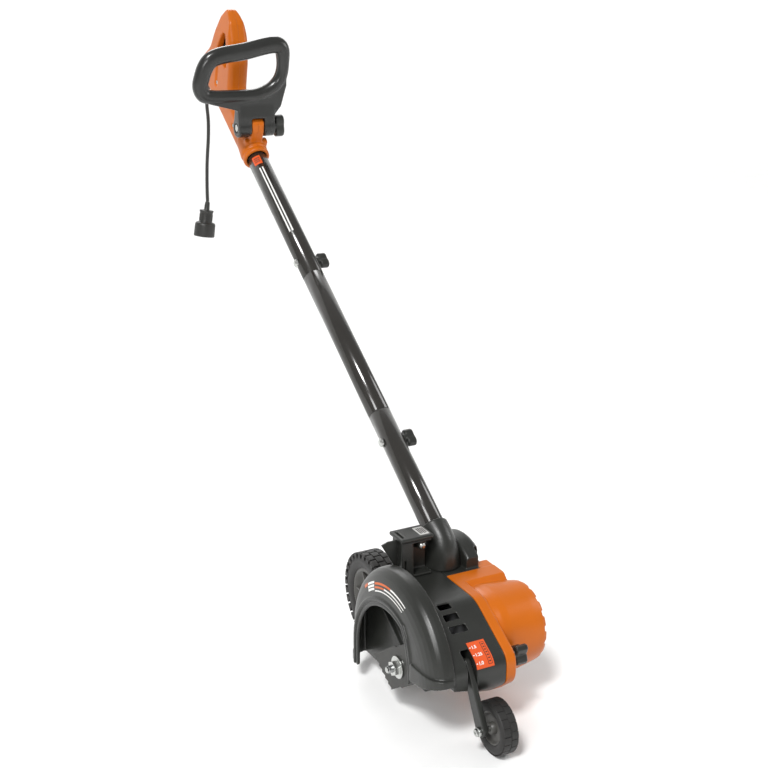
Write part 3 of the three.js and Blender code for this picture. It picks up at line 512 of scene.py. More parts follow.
def make_cord():
    route = smooth_route(CORD_ROUTE, 4)
    curve = bpy.data.curves.new("power_cord", "CURVE")
    curve.dimensions = "3D"
    curve.bevel_depth = CORD_R * MM
    curve.bevel_resolution = 8
    curve.use_fill_caps = True
    spline = curve.splines.new("POLY")
    spline.points.add(len(route) - 1)
    for point, place in zip(spline.points, route):
        point.co = (*place, 1)
    spline.use_smooth = True
    cord = bpy.data.objects.new("power_cord", curve)
    scene.collection.objects.link(cord)
    place_piece(cord, "chassis", "soft_rubber", "cord")
    length = sum((b - a).length for a, b in zip(route, route[1:]))

    side = PLUG_AXIS.cross(Vector((0, 1, 0))).normalized()
    other = PLUG_AXIS.cross(side)
    place = lambda u, v, h: PLUG_TOP + (side * u + other * v + PLUG_AXIS * h) * MM
    neck = [(0, 0.5), (4.2, 0.5), (5.2, 3), (5.6, 8), (6.2, 18.6), (7.2, 19.4), (15.0, 19.6), (15.6, 20.4)]
    waist = [(15.4, 22), (14.4, 24.5), (14.3, 27), (14.6, 44), (15.2, 45.6), (19, 46.6), (21, 48)]
    skirt = [(22.4, 50.5), (22.7, 54), (23.2, 76), (22.9, 77.6), (22, 78), (20.4, 78), (20, 77.4)]
    profile = neck + waist + skirt + [(19.6, 58.3), (0, 58)]
    plug = shade(lathe("plug_shell", profile, place), 50)
    place_piece(plug, "chassis", "soft_rubber", "plug_body")
    grips = []
    for k in range(10):
        turn = 2 * math.pi * k / 10
        corners = []
        for h in (28, 43):
            for r in (14.0, 15.2):
                for swing in (-0.07, 0.07):
                    a = turn + swing
                    corners.append(place(r * math.cos(a), r * math.sin(a), h))
        faces = [(0, 1, 3, 2), (4, 6, 7, 5), (0, 4, 5, 1), (2, 3, 7, 6), (0, 2, 6, 4), (1, 5, 7, 3)]
        grips.append((corners, faces))
    points = []
    faces = []
    for corners, own in grips:
        faces += [tuple(len(points) + i for i in face) for face in own]
        points += corners
    ribs = bevel(mesh_from("plug_grip_ribs", points, faces), 0.5)
    place_piece(ribs, "chassis", "soft_rubber")

    sleeve = [(0, -16), (8, -16), (8, -12.6), (6, -12), (6, -0.4), (7.6, 0.2), (7.8, 2.4), (6.9, 3.4)]
    for k in range(7):
        h = 6 + 4 * k
        r = 6.9 - 0.24 * k
        sleeve += [(r, h), (r, h + 1.8), (r - 1.0, h + 2.3), (r - 1.0, h + 3.5)]
    sleeve += [(5.1, 33), (4.6, 34), (0, 34)]
    relief = lathe("cord_sleeve", sleeve, lambda u, v, h: on_pole(u, RELIEF_S + v, -22.6 - h), 48)
    place_piece(shade(relief, 40), "chassis", "soft_rubber", "strain_relief")
    tuple(route[0])


# ------------------------------------------------------------------ blade guard
GUARD_Y = 18
GUARD_BACK_X = 28
GUARD_FOOT_Z = 20
GUARD_SECTION = [(105, -8.2), (113, -7.8), (123, -6.6), (132, -4.2), (139.5, -0.6), (145.5, 4.4),
                 (149.4, 10.5), (151, 18), (151, GUARD_BACK_X)]
MOUTH = (22, 76)
MOUTH_R = 106


def guard_face_x(r):
    """Where the guard's outer face lies at radius r from the guard's centre."""
    if r <= GUARD_SECTION[0][0]:
        return GUARD_SECTION[0][1]
    for (r0, x0), (r1, x1) in zip(GUARD_SECTION, GUARD_SECTION[1:]):
        if r <= r1 and r1 > r0:
            return x0 + (x1 - x0) * (r - r0) / (r1 - r0)
    return GUARD_SECTION[-1][1]


def guard_body(name, shrink, foot_z):
    """The guard's solid outline, moved inwards by shrink: a rounded drum and a leg behind it."""
    back = GUARD_BACK_X - shrink
    section = [(r - shrink, min(x + shrink, back)) for r, x in GUARD_SECTION]
    face = section[0][1]
    drum = lathe(name, [(0, face), *section, (0, back)], across(GUARD_Y, BLADE_Z), 192)
    outline = [(face, 55), *[(x, GUARD_Y + r) for r, x in section], (back, 55)]
    return add(drum, extrude(name + "_leg", outline, foot_z, BLADE_Z, at))


def mouth_outline(grow):
    """The mouth's edge, or a line that far outside it: upright behind, round on top, steep in front."""
    y, z = MOUTH
    turns = [math.radians(5 * k) for k in range(24)]
    arch = [(y + MOUTH_R * math.cos(a), z + MOUTH_R * math.sin(a)) for a in turns]
    front = [(-31, 160), (-38, 141), (-43, 120), (-46, 95), (-46, -20)]
    return [corner[:2] for corner in inset([(y + MOUTH_R, -20), *arch, *front], -grow)]


def make_guard():
    shell = guard_body("guard_shell", 0, GUARD_FOOT_Z)
    inner = guard_body("guard_inner", 3.2, GUARD_FOOT_Z - 10)
    mouth = extrude("mouth", mouth_outline(0), -30, 12)
    below = extrude("below", rounded([
        (-200, 134), (-200, -60), (220, -60), (220, 32), (130, 32), (112, 50),
        (-40, 62), (-50, 99), (-90, 106), (-140, 122)]), -40, 60)
    lip = extrude("lip", mouth_outline(5.5), -9.8, -4)
    bead_core = extrude("bead_core", mouth_outline(8.6), -20, 0)
    bead = cut(extrude("bead", mouth_outline(14.6), -11.2, -6), bead_core)
    rings = overlap(add(lip, bead), guard_body("guard_reach", -3.6, GUARD_FOOT_Z))
    skirt_room = block("skirt_room", -40, 27, -150, -58, 101, 131)
    skirt = overlap(guard_body("guard_skirt", -4, GUARD_FOOT_Z), skirt_room)
    foot_room = block("foot_room", -40, 27, 140, 180, GUARD_FOOT_Z, 46)
    foot = overlap(guard_body("guard_foot", -2.2, GUARD_FOOT_Z), foot_room)
    add(shell, rings, skirt, foot)
    cut(shell, inner)
    ribs = []
    ring_r = 27
    for degrees in (38, 68, 98, 128, 158):
        a = math.radians(degrees)
        direction = Vector((math.cos(a), math.sin(a)))
        side = Vector((-direction.y, direction.x)) * 1.2
        start = Vector((0, BLADE_Z)) + direction * ring_r
        end = Vector((GUARD_Y, BLADE_Z)) + direction * 146.5
        outline = [start - side, end - side, end + side, start + side]
        ribs.append(extrude("rib", outline, 15, 26))
    ring = [(ring_r, 15), (ring_r + 3, 15), (ring_r + 3, 26), (ring_r, 26), (ring_r, 15)]
    ribs.append(lathe("rib_ring", ring, across(0, BLADE_Z)))
    add(shell, *ribs)
    bore = lathe("bore", [(0, 20), (22, 20), (22, 40), (0, 40)], across(0, BLADE_Z), 64)
    cut(shell, mouth, below, bore)
    bake(soften(shell, 1.2, 4))
    place_piece(shell, "chassis", "black_plastic", "blade_guard")


def guard_stripe(name, r0, r1, start, end, paint, taper=1.0):
    """A printed band on the guard's face between two radii and two angles, in degrees."""
    count = max(int(abs(end - start) / 1.5), 3)
    points = []
    for k in range(count + 1):
        t = k / count
        a = math.radians(start + (end - start) * t)
        half = (r1 - r0) / 2 * (1 - (1 - taper) * t)
        middle = (r0 + r1) / 2
        for lift in (0.45, -0.3):
            for r in (middle - half, middle + half):
                x = guard_face_x(r) - lift
                points.append(at(x, GUARD_Y + r * math.cos(a), BLADE_Z + r * math.sin(a)))
    faces = []
    for k in range(count):
        b = 4 * k
        faces += [(b, b + 1, b + 5, b + 4), (b + 2, b + 6, b + 7, b + 3), (b, b + 4, b + 6, b + 2),
                  (b + 1, b + 3, b + 7, b + 5)]
    faces += [(0, 2, 3, 1), (4 * count, 4 * count + 1, 4 * count + 3, 4 * count + 2)]
    piece = mesh_from(name, points, faces)
    place_piece(piece, "chassis", "black_plastic", paint=paint)


def make_guard_prints():
    guard_stripe("guard_print_tick", 127.5, 132.5, 46, 51.5, "orange_print")
    for row in range(3):
        r = 117.5 + 5.2 * row
        guard_stripe(f"guard_print_block_{row}", r, r + 3.6, 52.5, 63.5, "white_print")
    guard_stripe("guard_print_orange_outer", 126, 129.4, 65, 89, "orange_print", 0.8)
    guard_stripe("guard_print_orange_inner", 120.2, 123.2, 65, 80, "orange_print", 0.8)
    guard_stripe("guard_print_white_outer", 126.4, 128.8, 89.6, 112, "white_print", 0.5)
    guard_stripe("guard_print_white_middle", 120.5, 122.8, 80.6, 111.5, "white_print", 0.5)
    guard_stripe("guard_print_white_inner", 115, 117, 65, 110.5, "white_print", 0.5)


# ------------------------------------------------------------------ head housings
HEAD = [(106, DECK_Z, 12), (-25, DECK_Z, 60), (-124, 139, 30), (-124, 96, 30), (-80, 59, 30), (70, 57, 30),
        (106, 90, 30)]


def brow_z(y):
    """The height of the head's sloping brow."""
    return DECK_Z + (y - BROW_START_Y) * BROW_SLOPE


def underside_wedge(lift):
    """What is cut from under the head's front, moved inwards by lift."""
    outline = [(15, 30), (15, 109 + lift), (60, 97 + lift), (121, 60 + lift), (121, 30)]
    return extrude("wedge", outline, -36 + lift, -196 + lift, lambda x, z, y: at(x, y, z))


def rod(name, r, x0, x1, y, z, segments=64):
    return lathe(name, [(0, x0), (r, x0), (r, x1), (0, x1)], across(y, z), segments)


def make_gear_housing():
    start, end = CASE_X
    outer = cut(extrude("gear_case", rounded(HEAD, 16), start, end), underside_wedge(0))
    hollow = cut(extrude("hollow", rounded(inset(HEAD, WALL), 16), 31.8, 132), underside_wedge(WALL))
    walls = overlap(block("walls", 50, 73, -125, -58, 50, 158), duplicate(outer))
    cut(outer, hollow)
    add(outer, walls, rod("boss", 17.8, 31, 44, 0, BLADE_Z))
    slots = []
    for x0, x1, y0, y1 in ((56.5, 78, -29.5, -17), (56, 80.5, -49, -37.5), (55.5, 84.5, -69, -57.5)):
        slots.append(block("slot", x0, x1, y0, y1, -14, 12, lambda x, y, h: at(x, y, brow_z(y) + h)))
    pocket = block("pocket", 53.5, 69.5, -140, -61.5, 30, 154.5)
    bore = rod("bore", 17.8, 20, 50, 0, BLADE_Z)
    cut(outer, pocket, bore, rod("bolt_bore", 4.4, 40, 84, *ARM_PIVOT), *slots)
    bake(soften(outer, 1.0, 3))
    place_piece(outer, "chassis", "black_plastic", "gear_housing")


def duplicate(thing):
    other = thing.copy()
    other.data = thing.data.copy()
    scene.collection.objects.link(other)
    return other


# sections of the motor's barrel: x, centre height, radius and how square it is (2 is round)
BARREL = [
    (133, 119.5, 70.5, 2.2), (140, 120, 71, 2.25), (150, 121, 72.4, 2.4), (162, 122.4, 72.4, 2.4),
    (176, 123.5, 71, 2.3), (212, MOTOR_Z, 68, 2.1), (224, MOTOR_Z, 66.8, 2.0), (229, MOTOR_Z, 65, 2),
    (231.4, MOTOR_Z, 63, 2), (232, MOTOR_Z, 60.5, 2),
]


def barrel_body(name, shrink, start, extra):
    """The barrel, thinner by shrink, from start on and longer by extra."""
    sections = [(max(x, start), z, r - shrink, p) for x, z, r, p in BARREL]
    sections[-1] = (sections[-1][0] + extra, *sections[-1][1:])
    fine = []
    for a, b in zip(sections, sections[1:]):
        fine += [tuple(a[i] + (b[i] - a[i]) * k / 3 for i in range(4)) for k in range(3)]
    rows = []
    for x, z, r, p in [*fine, sections[-1]]:
        row = []
        for k in range(144):
            a = 2 * math.pi * k / 144
            reach = r / (abs(math.cos(a)) ** p + abs(math.sin(a)) ** p) ** (1 / p)
            row.append(at(x, MOTOR_Y + reach * math.cos(a), z + reach * math.sin(a)))
        rows.append(row)
    return mesh_from(name, *skin_rows(rows, False))


SEAM_Y = 64


def make_motor_cover():
    rows = []
    for x, shrink in ((COVER_START_X, 0), (137.2, 0), (139.2, 0.6), (140.5, 1.8), (141, 3.4)):
        rows.append([at(x, p[0], p[1]) for p in rounded(inset(HEAD, shrink), 16)])
    flange = mesh_from("flange", *skin_rows(rows, False))
    overlap(flange, block("keep", 120, 142, -140, SEAM_Y, 0, 250))
    flange_hollow = overlap(extrude("flange_hollow", rounded(inset(HEAD, WALL), 16), 112, 138),
                            block("keep", 100, 139, -140, SEAM_Y + 5, 0, 250))
    barrel = barrel_body("barrel", 0, 133, 0)
    barrel_hollow = barrel_body("barrel_hollow", WALL, 137.9, 4)
    step = [(SEAM_Y, DECK_Z), (32, DECK_Z, 5), (24, 188, 8), (20, 178, 5), (18, 150), (SEAM_Y, 150)]
    deck = extrude("deck", rounded(step, 6), 133, 214)
    deck_hollow = block("deck_hollow", 135, 210, 36, SEAM_Y - WALL, 140, DECK_Z - WALL)
    tongue = block("tongue", 188, 214, SEAM_Y - 6, 88, DECK_Z - 8, DECK_Z - 0.5)
    notches = []
    notch_count = 16
    for k in range(notch_count):
        a = 2 * math.pi * (k + 0.5) / notch_count

        def turned(u, v, h, a=a):
            return at(u, MOTOR_Y + v * math.cos(a) - h * math.sin(a),
                      MOTOR_Z + v * math.sin(a) + h * math.cos(a))
        notches.append(block("notch", 227.5, 236, 57, 70, -4.5, 4.5, turned))
    cover = add(barrel, flange, deck, tongue)
    bolt_bore = rod("bolt_bore", 4.4, 110, 150, *ARM_PIVOT)
    cut(cover, flange_hollow, barrel_hollow, deck_hollow, bolt_bore, *notches)
    cover.name = "motor_cover_shell"
    bake(soften(cover, 1.0, 8))
    place_piece(cover, "chassis", "orange_plastic", "motor_cover")


def make_rear_housing():
    start = SEAM_Y + 0.3
    top = DECK_Z - 0.2
    corners = [(112, top, 10), (start, top, 0), (start, 70, 0), (98, 66, 14), (112, 84, 20)]
    trunk = extrude("rear_case", rounded(corners), COVER_START_X, 200)
    trunk_hollow = extrude("trunk_hollow", rounded(inset(corners, WALL)), COVER_START_X + WALL, 200 - WALL)
    door = block("door", COVER_START_X + WALL, 200 - WALL, start - 5, start + 5, 80, 184)
    dome_axis = across(126, 147)
    profile = [(0, 164), (82, 164), (85.5, 165.2), (87.5, 168), (88, 171), (88, 187), (87.5, 190),
               (84, 195), (80, 196), (0, 196)]
    dome = lathe("dome", profile, dome_axis, 144)
    overlap(dome, block("keep", 150, 210, start + 6, 230, 66, 260))
    dome_hollow = lathe("dome_hollow", [(0, 167), (84, 167), (84, 193), (0, 193)], dome_axis, 144)
    overlap(dome_hollow, block("keep", 150, 210, start + 9, 230, 69, 260))
    grown = barrel_body("grown", -1, 133, 0)
    step = block("step", 187.5, 230, start - 10, 88.4, DECK_Z - 9, 230)
    add(trunk, dome)
    cut(trunk, trunk_hollow, door, dome_hollow, grown, step)
    bake(soften(trunk, 1.2, 4))
    place_piece(trunk, "chassis", "black_plastic", "rear_housing")


# ------------------------------------------------------------------ wheels
def wheel(sizes):
    return sizes["r"], sizes["y"], sizes["x0"], sizes["x1"]


def tread_blocks(name, r, height, rows, pitches, share, y, z):
    """Raised blocks round a tyre; each row is (x0, x1, shift) and the shift is in pitches."""
    sunk = 1.0
    points = []
    faces = []
    step = 2 * math.pi / pitches
    for x0, x1, shift in rows:
        for k in range(pitches):
            base = len(points)
            for i in range(4):
                a = (k + shift + share * (i / 3 - 0.5)) * step
                for radius in (r - height - sunk, r):
                    for x in (x0, x1):
                        points.append(at(x, y + radius * math.cos(a), z + radius * math.sin(a)))
            for i in range(3):
                b = base + 4 * i
                faces += [(b, b + 4, b + 5, b + 1), (b + 2, b + 3, b + 7, b + 6), (b, b + 2, b + 6, b + 4),
                          (b + 1, b + 5, b + 7, b + 3)]
            faces += [(base, base + 1, base + 3, base + 2), (base + 12, base + 14, base + 15, base + 13)]
    return bevel(mesh_from(name, points, faces), 0.5)


def make_rear_wheel():
    r, y, x0, x1 = wheel(REAR_WHEEL)
    carcass = [(54, x0 + 4), (57, x0 + 1.8), (63, x0 + 1), (68, x0 + 0.4), (72, x0 + 1.2), (75.5, x0 + 2.6),
               (78, x0 + 5), (79, x0 + 9), (79.4, (x0 + x1) / 2), (79, x1 - 9), (78, x1 - 5),
               (75.5, x1 - 2.6), (72, x1 - 1.2), (68, x1 - 0.4), (63, x1 - 1), (57, x1 - 1.8),
               (54, x1 - 4), (54, x0 + 4)]
    tyre = shade(lathe("rear_tyre_carcass", carcass, across(y, r), 128), 50)
    place_piece(tyre, "rear_wheel", "tyre_rubber", "rear_tyre")
    rows = [(x0 + 0.8, x0 + 11.6, 0), (x0 + 13.2, x1 - 13.2, 0.5), (x1 - 11.6, x1 - 0.8, 0)]
    blocks = tread_blocks("rear_tyre_tread", r, 3.2, rows, 30, 0.84, y, r)
    place_piece(blocks, "rear_wheel", "tyre_rubber")
    sides = [(x0 + 0.1, x0 + 5, 0), (x1 - 5, x1 - 0.1, 0)]
    lugs = tread_blocks("rear_tyre_side_lugs", 79.5, 7, sides, 30, 0.5, y, r)
    place_piece(lugs, "rear_wheel", "tyre_rubber")
    dish = [(6.4, x0 + 2), (15, x0 + 2), (16.5, x0 + 3), (18, x0 + 12), (24, x0 + 13.5), (40, x0 + 13.5),
            (45, x0 + 9), (48, x0 + 4.2), (50, x0 + 3.4), (53.5, x0 + 4.4), (53.6, x1 - 5), (48, x1 - 5),
            (44, x0 + 20), (18, x0 + 18), (16, x1 - 1), (6.4, x1 - 1), (6.4, x0 + 2)]
    hub = shade(lathe("rear_hub_dish", dish, across(y, r), 96), 40)
    place_piece(hub, "rear_wheel", "hub_plastic", "rear_hub")
    spokes = tread_blocks("rear_hub_spokes", 46, 29, [(x0 + 6, x0 + 14.5, 0)], 6, 0.08, y, r)
    place_piece(spokes, "rear_wheel", "hub_plastic")


def make_front_wheel():
    r, y, x0, x1 = wheel(FRONT_WHEEL)
    carcass = [(27, x0 + 3), (30, x0 + 1), (35, x0), (38.5, x0 + 0.8), (41, x0 + 3), (42, x0 + 6),
               (42.3, x0 + 14.5), (42, x1 - 6), (41, x1 - 3), (38.5, x1 - 0.8), (35, x1), (30, x1 - 1),
               (27, x1 - 3), (27, x0 + 3)]
    tyre = shade(lathe("front_tyre_carcass", carcass, across(y, r), 96), 50)
    place_piece(tyre, "front_wheel", "tyre_rubber", "front_tyre")
    rows = [(x0 + 2.4, x0 + 14.1, 0), (x1 - 14.1, x1 - 2.4, 0.5)]
    blocks = tread_blocks("front_tyre_tread", r, 0.7, rows, 20, 0.94, y, r)
    place_piece(blocks, "front_wheel", "tyre_rubber")
    dish = [(4.4, x0 + 1), (8, x0 + 1), (9, x0 + 2), (10, x0 + 9), (13, x0 + 10), (19, x0 + 10),
            (22, x0 + 8), (23.5, x0 + 3.4), (24.6, x0 + 2.6), (26.6, x0 + 3.2), (26.7, x1 - 3),
            (22, x1 - 4), (20, x0 + 15), (10, x0 + 14), (9, x1 - 2), (4.4, x1 - 2), (4.4, x0 + 1)]
    hub = shade(lathe("front_hub_dish", dish, across(y, r), 72), 40)
    place_piece(hub, "front_wheel", "hub_plastic", "front_hub")


# ------------------------------------------------------------------ tubes
def make_tubes():
    spans = (
        ("lower_tube", -11, JOINT_LOW - JOINT_GAP),
        ("middle_tube", JOINT_LOW + JOINT_GAP, JOINT_HIGH - JOINT_GAP),
        ("upper_tube", JOINT_HIGH + JOINT_GAP, TUBE_TOP),
    )
    for name, s0, s1 in spans:
        profile = [(18.2, s0), (19.4, s0), (TUBE_R, s0 + 0.6), (TUBE_R, s1 - 0.6), (19.4, s1), (18.2, s1),
                   (18.2, s0)]
        tube = shade(lathe(name + "_skin", profile, along_pole, 96), 50)
        if name == "middle_tube":
            for a, b in ((149, 239.5), (569.5, 640)):
                inner = [(16.2, a), (17.6, a), (17.9, a + 0.5), (17.9, b), (16.2, b), (16.2, a)]
                spigot = shade(lathe(f"middle_tube_spigot_{a:.0f}", inner, along_pole, 64), 50)
                place_piece(spigot, "chassis", "tube_paint")
        place_piece(tube, "chassis", "tube_paint", name)


# ------------------------------------------------------------------ pole socket and bracket
def make_socket():
    """The sleeve's foot is an egg shape on the deck, and its top a ring square to the pole."""
    rows = []
    levels = 14
    sleeve_r = 24.6
    for i in range(levels + 1):
        t = i / levels
        row = []
        for k in range(96):
            a = 2 * math.pi * k / 96
            reach = 42 if math.cos(a) > 0 else 30
            foot = at(POLE_X + reach * math.cos(a), 119 + 44 * math.sin(a), DECK_Z + 0.3)
            top = on_pole(sleeve_r * math.cos(a), 0, -sleeve_r * math.sin(a))
            bulge = 13 * math.sin(math.pi * t) * max(0, -math.sin(a))
            row.append(foot.lerp(top, t) + Vector((0, -bulge * MM, bulge * 0.5 * MM)))
        rows.append(row)
    for r, s in ((24.2, 1.2), (23.2, 2), (20.6, 2)):
        rows.append([on_pole(r * math.cos(2 * math.pi * k / 96), s, -r * math.sin(2 * math.pi * k / 96))
                     for k in range(96)])
    socket = mesh_from("pole_socket_body", *skin_rows(rows, False))
    bore = lathe("bore", [(0, -12), (20.4, -12), (20.4, 20), (0, 20)], along_pole, 64)
    cut(socket, bore)
    bake(soften(socket, 1.1, 4))
    place_piece(socket, "chassis", "black_plastic", "pole_socket")


def make_bracket():
    side = [(82, DECK_Z + 0.3, 1), (118, DECK_Z + 0.3, 1), (118, 262, 5), (84, 262, 5)]
    body = puffed("bracket_body", side, 50, 105, 1.5, lambda y, z, x: at(x, y, z))
    pocket = puffed("pocket", [(60, 201, 3), (104, 201, 3), (104, 256, 3), (60, 256, 3)], 71, 120, 2,
                    lambda y, z, x: at(x, y, z))
    slot = block("slot", 55, 58, 76, 88, 206, 228)
    cut(body, pocket, slot)
    boss = lathe("boss", [(0, 106), (8.5, 106), (7, 84.5), (0, 84.5)],
                 lambda u, v, h: at(88 + u, h, 249 + v), 48)
    add(body, boss)
    bake(soften(body, 0.9, 3))
    place_piece(body, "chassis", "black_plastic", "deflector_bracket")
    screw("bracket_screw", lambda u, v, h: at(88 + u, 84.6 - h, 249 + v), 5, "chassis")
    corners = [(84, 84, 1), (84, 101, 1), (113, 101, 1), (113, 84, 1)]
    label = puffed("bracket_label", corners, 269.05, 269.5, 0.1, lambda y, x, z: at(x, y, z), 3)
    place_piece(label, "chassis", "black_plastic", paint="pale_print")
    for k in range(4):
        x = 87 + 3.4 * k
        bar = block(f"bracket_label_bar_{k}", x, 89 + 3.4 * k, 88 + 2 * (k % 2), 109, 269.4, 269.75)
        place_piece(bar, "chassis", "black_plastic", paint="dark_print")


def screw(name, where, r, body):
    """A pan-head screw with a crossed recess; where(u, v, h) has h out of the surface."""
    profile = [(0, -2), (r * 0.55, -2), (r * 0.55, 0), (r, 0), (r, 0.7), (r * 0.86, 1.5),
               (r * 0.5, 1.95), (0, 2.1)]
    head = lathe(name, profile, where, 32)
    arms = [block("arm", -r * 0.62, r * 0.62, -0.42, 0.42, 0.9, 3, where),
            block("arm", -0.42, 0.42, -r * 0.62, r * 0.62, 0.9, 3, where)]
    cut(head, *arms)
    place_piece(shade(head, 30), body, "zinc_plate")


def hex_nut(name, flats, x0, x1, y, z, body, bore=0.0):
    """A chamfered hexagon on an axis along X, faced towards -X."""
    r = flats / math.sqrt(3)
    rim = flats / 2 * 0.94
    cap = lathe(name, [(0, x0), (rim, x0), (r * 1.02, x0 + 1.1), (r * 1.02, x1), (0, x1)], across(y, z), 48)
    prism = lathe("prism", [(0, x0 - 1), (r, x0 - 1), (r, x1 + 1), (0, x1 + 1)], across(y, z), 6)
    overlap(cap, prism)
    if bore:
        cut(cap, rod("bore", bore, x0 - 2, x0 + 2.2, y, z, 32))
    place_piece(bevel(cap, 0.2), body, "zinc_plate")


# ------------------------------------------------------------------ front handle
def make_front_handle():
    """A round bar bent into a loop, on a web and a neck that end in two ears on the pivot."""
    depth_r = 14.4
    gap = 13.5
    left = -41
    right = 36
    middle = [(-114, 74, 15), (-117, 98, 16), (-96, 139, 16.5), (-30, 152, 17), (40, 162, 16.5),
              (53, 126, 12.5), (43, 88, 13), (4, 67, 12.5), (-56, 65, 12.5), (-98, 66, 14)]
    count = len(middle)
    line = []
    for i in range(count):
        p0, p1, p2, p3 = (Vector(middle[(i + j) % count]) for j in (-1, 0, 1, 2))
        for k in range(10):
            line.append(curve_point(p0, p1, p2, p3, k / 10))
    rows = []
    for i, here in enumerate(line):
        ahead = line[(i + 1) % len(line)] - line[i - 1]
        side = Vector((ahead.y, -ahead.x)).normalized()
        row = []
        for k in range(28):
            a = 2 * math.pi * k / 28
            reach = here.z * math.cos(a)
            x = here.x + side.x * reach
            row.append(on_front_handle(x, depth_r * math.sin(a), here.y + side.y * reach))
        rows.append(row)
    grip = mesh_from("front_handle_grip", *skin_rows(rows, True))
    edge = [(left, -2), (right, -2), (right, 24), (50, 42), (60, 84), (58, 108), (44, 84), (0, 66),
            (-100, 70), (-118, 66), (-100, 53), (-42, 37)]
    web = puffed("web", edge, -10.5, 10.5, 2, lambda x, z, y: on_front_handle(x, y, z))

    def along_pivot(u, v, h):
        return on_front_handle(h, u, v)
    ears = []
    for x0, x1 in ((left, -gap), (gap, right)):
        ear = [(0, x0), (17.6, x0), (19, x0 + 1.4), (19, x1), (0, x1)]
        ears.append(lathe("ear", ear, along_pivot, 64))
    depth = [(-17.5, 0), (17.5, 0), (15.5, 24, 30), (7.5, 64, 4), (-7.5, 64, 4), (-15.5, 24, 30)]
    neck = puffed("neck", depth, left, right, 4, lambda y, z, x: on_front_handle(x, y, z))
    add(grip, web, *ears, neck)
    recess = lathe("recess", [(0, -60), (9.5, -60), (9.5, -36.2), (0, -36.2)], along_pivot, 48)
    bore = lathe("bore", [(0, -60), (4.4, -60), (4.4, 60), (0, 60)], along_pivot, 32)
    cut(grip, block("gap", -gap, gap, -30, 30, -30, 20.7, on_front_handle), bore, recess)
    bake(soften(grip, 1.2, 24))
    place_piece(grip, "front_grip", "black_plastic", "front_handle", paint="grip_plastic")


# ------------------------------------------------------------------ rear handle
COLLAR = 893
HALF_WIDTH = 21
HANDLE = [
    (COLLAR + 8, -23, 12), (1150, -22, 60), (1198, -16, 18), (1203, 10, 24), (1174, 62, 60),
    (1164, 142, 14), (1152, 172, 16), (1112, 166, 24), (1084, 143, 30), (1058, 104, 30),
    (1040, 56, 30), (1012, 34, 40), (958, 30, 12), (940, 27, 12), (COLLAR + 14, 26, 12),
]
HANDLE_HOLE = [(1110, 136, 10), (1126, 132, 10), (1137, 76, 14), (1074, 78, 14), (1080, 98, 20)]


def make_rear_handle():
    """Two shells of a loop handle, on a ringed collar that holds the tube's end."""
    def place(s, n, x):
        return on_pole(x, s, n)
    body = puffed("rear_handle", HANDLE, -HALF_WIDTH, HALF_WIDTH, 12, place, 6)
    hole = extrude("hole", rounded(HANDLE_HOLE, 8), -60, 60, place)
    narrowing = rounded([(-24, -300), (24, -300), (22, 20, 40), (13, 66, 40), (7, 83, 7),
                         (-7, 83, 7), (-13, 66, 40), (-22, 20, 40)])
    taper = extrude("taper", narrowing, -300, 300,
                    lambda x, b, h: on_pole(x, 1110 + 0.6 * b - 0.8 * h, 100 + 0.8 * b + 0.6 * h))
    overlap(body, taper)
    c = COLLAR
    rings = [(0, c + 8), (20.5, c + 8), (20.5, c + 0.6), (21, c), (24.5, c), (26.3, c + 0.9), (27, c + 3),
             (27, c + 8.6), (26, c + 10), (24.6, c + 10.6), (24.6, c + 13), (26.6, c + 14), (27.5, c + 16),
             (27.5, c + 22), (24, 950), (0, 962)]
    collar = lathe("collar", rings, along_pole, 96)
    s, n = HANDLE_PIVOT
    lug_edge = [(s - 20, 10), (s + 26, 10), (s + 18, n + 6, 14), (s + 7, n + 20, 14), (s - 9, n + 19, 14),
                (s - 17, n, 14)]
    lug = puffed("lug", lug_edge, -13, 13, 2, place, 6)
    tab_edge = [(c + 20, -22, 6), (c + 36, -22, 6), (c + 36, 27, 6), (c + 20, 27, 6)]
    tab = puffed("tab", tab_edge, -HALF_WIDTH, 26, 3, place)
    add(body, collar, lug, tab)
    groove_edge = rounded([(1096, 14, 6), (1108, 12, 6), (1121, 56, 6), (1109, 60, 6)])
    groove = extrude("groove", groove_edge, -30, -17.6, place)
    spots = ((1103, 22), (1182, -2), (990, 4))
    wells = [lathe("well", [(0, -30), (5.6, -30), (5.6, -17.8), (0, -17.8)],
                   lambda u, v, h, s=s, n=n: on_pole(h, s + u, n + v), 32) for s, n in spots]
    trigger_slot = block("trigger_slot", -7.6, 7.6, 1104, 1146, 74, 130, on_pole)
    cut(body, hole, trigger_slot, groove, *wells)
    bake(soften(body, 1.2, 14))
    cut(body, lathe("button_bore", [(0, -40), (6.8, -40), (6.8, -1), (0, -1)],
                    lambda u, v, h: on_pole(h, 1152 + u, 40 + v), 32))
    right = duplicate(body)
    right.name = "rear_handle_right"
    overlap(right, block("half", JOINT_GAP, 60, 800, 1300, -100, 300, on_pole))
    overlap(body, block("half", -60, -JOINT_GAP, 800, 1300, -100, 300, on_pole))
    body.name = "rear_handle_left"
    place_piece(body, "chassis", "orange_plastic", "handle_left_shell")
    place_piece(right, "chassis", "orange_plastic", "handle_right_shell")
    for i, (s, n) in enumerate(spots):
        screw(f"handle_screw_{i}", lambda u, v, h, s=s, n=n: on_pole(-18.2 - h, s + u, n + v), 4.0,
              "chassis")


# ------------------------------------------------------------------ depth label
LABEL_X = 69.5
LABEL_TOP_Y = -87.5


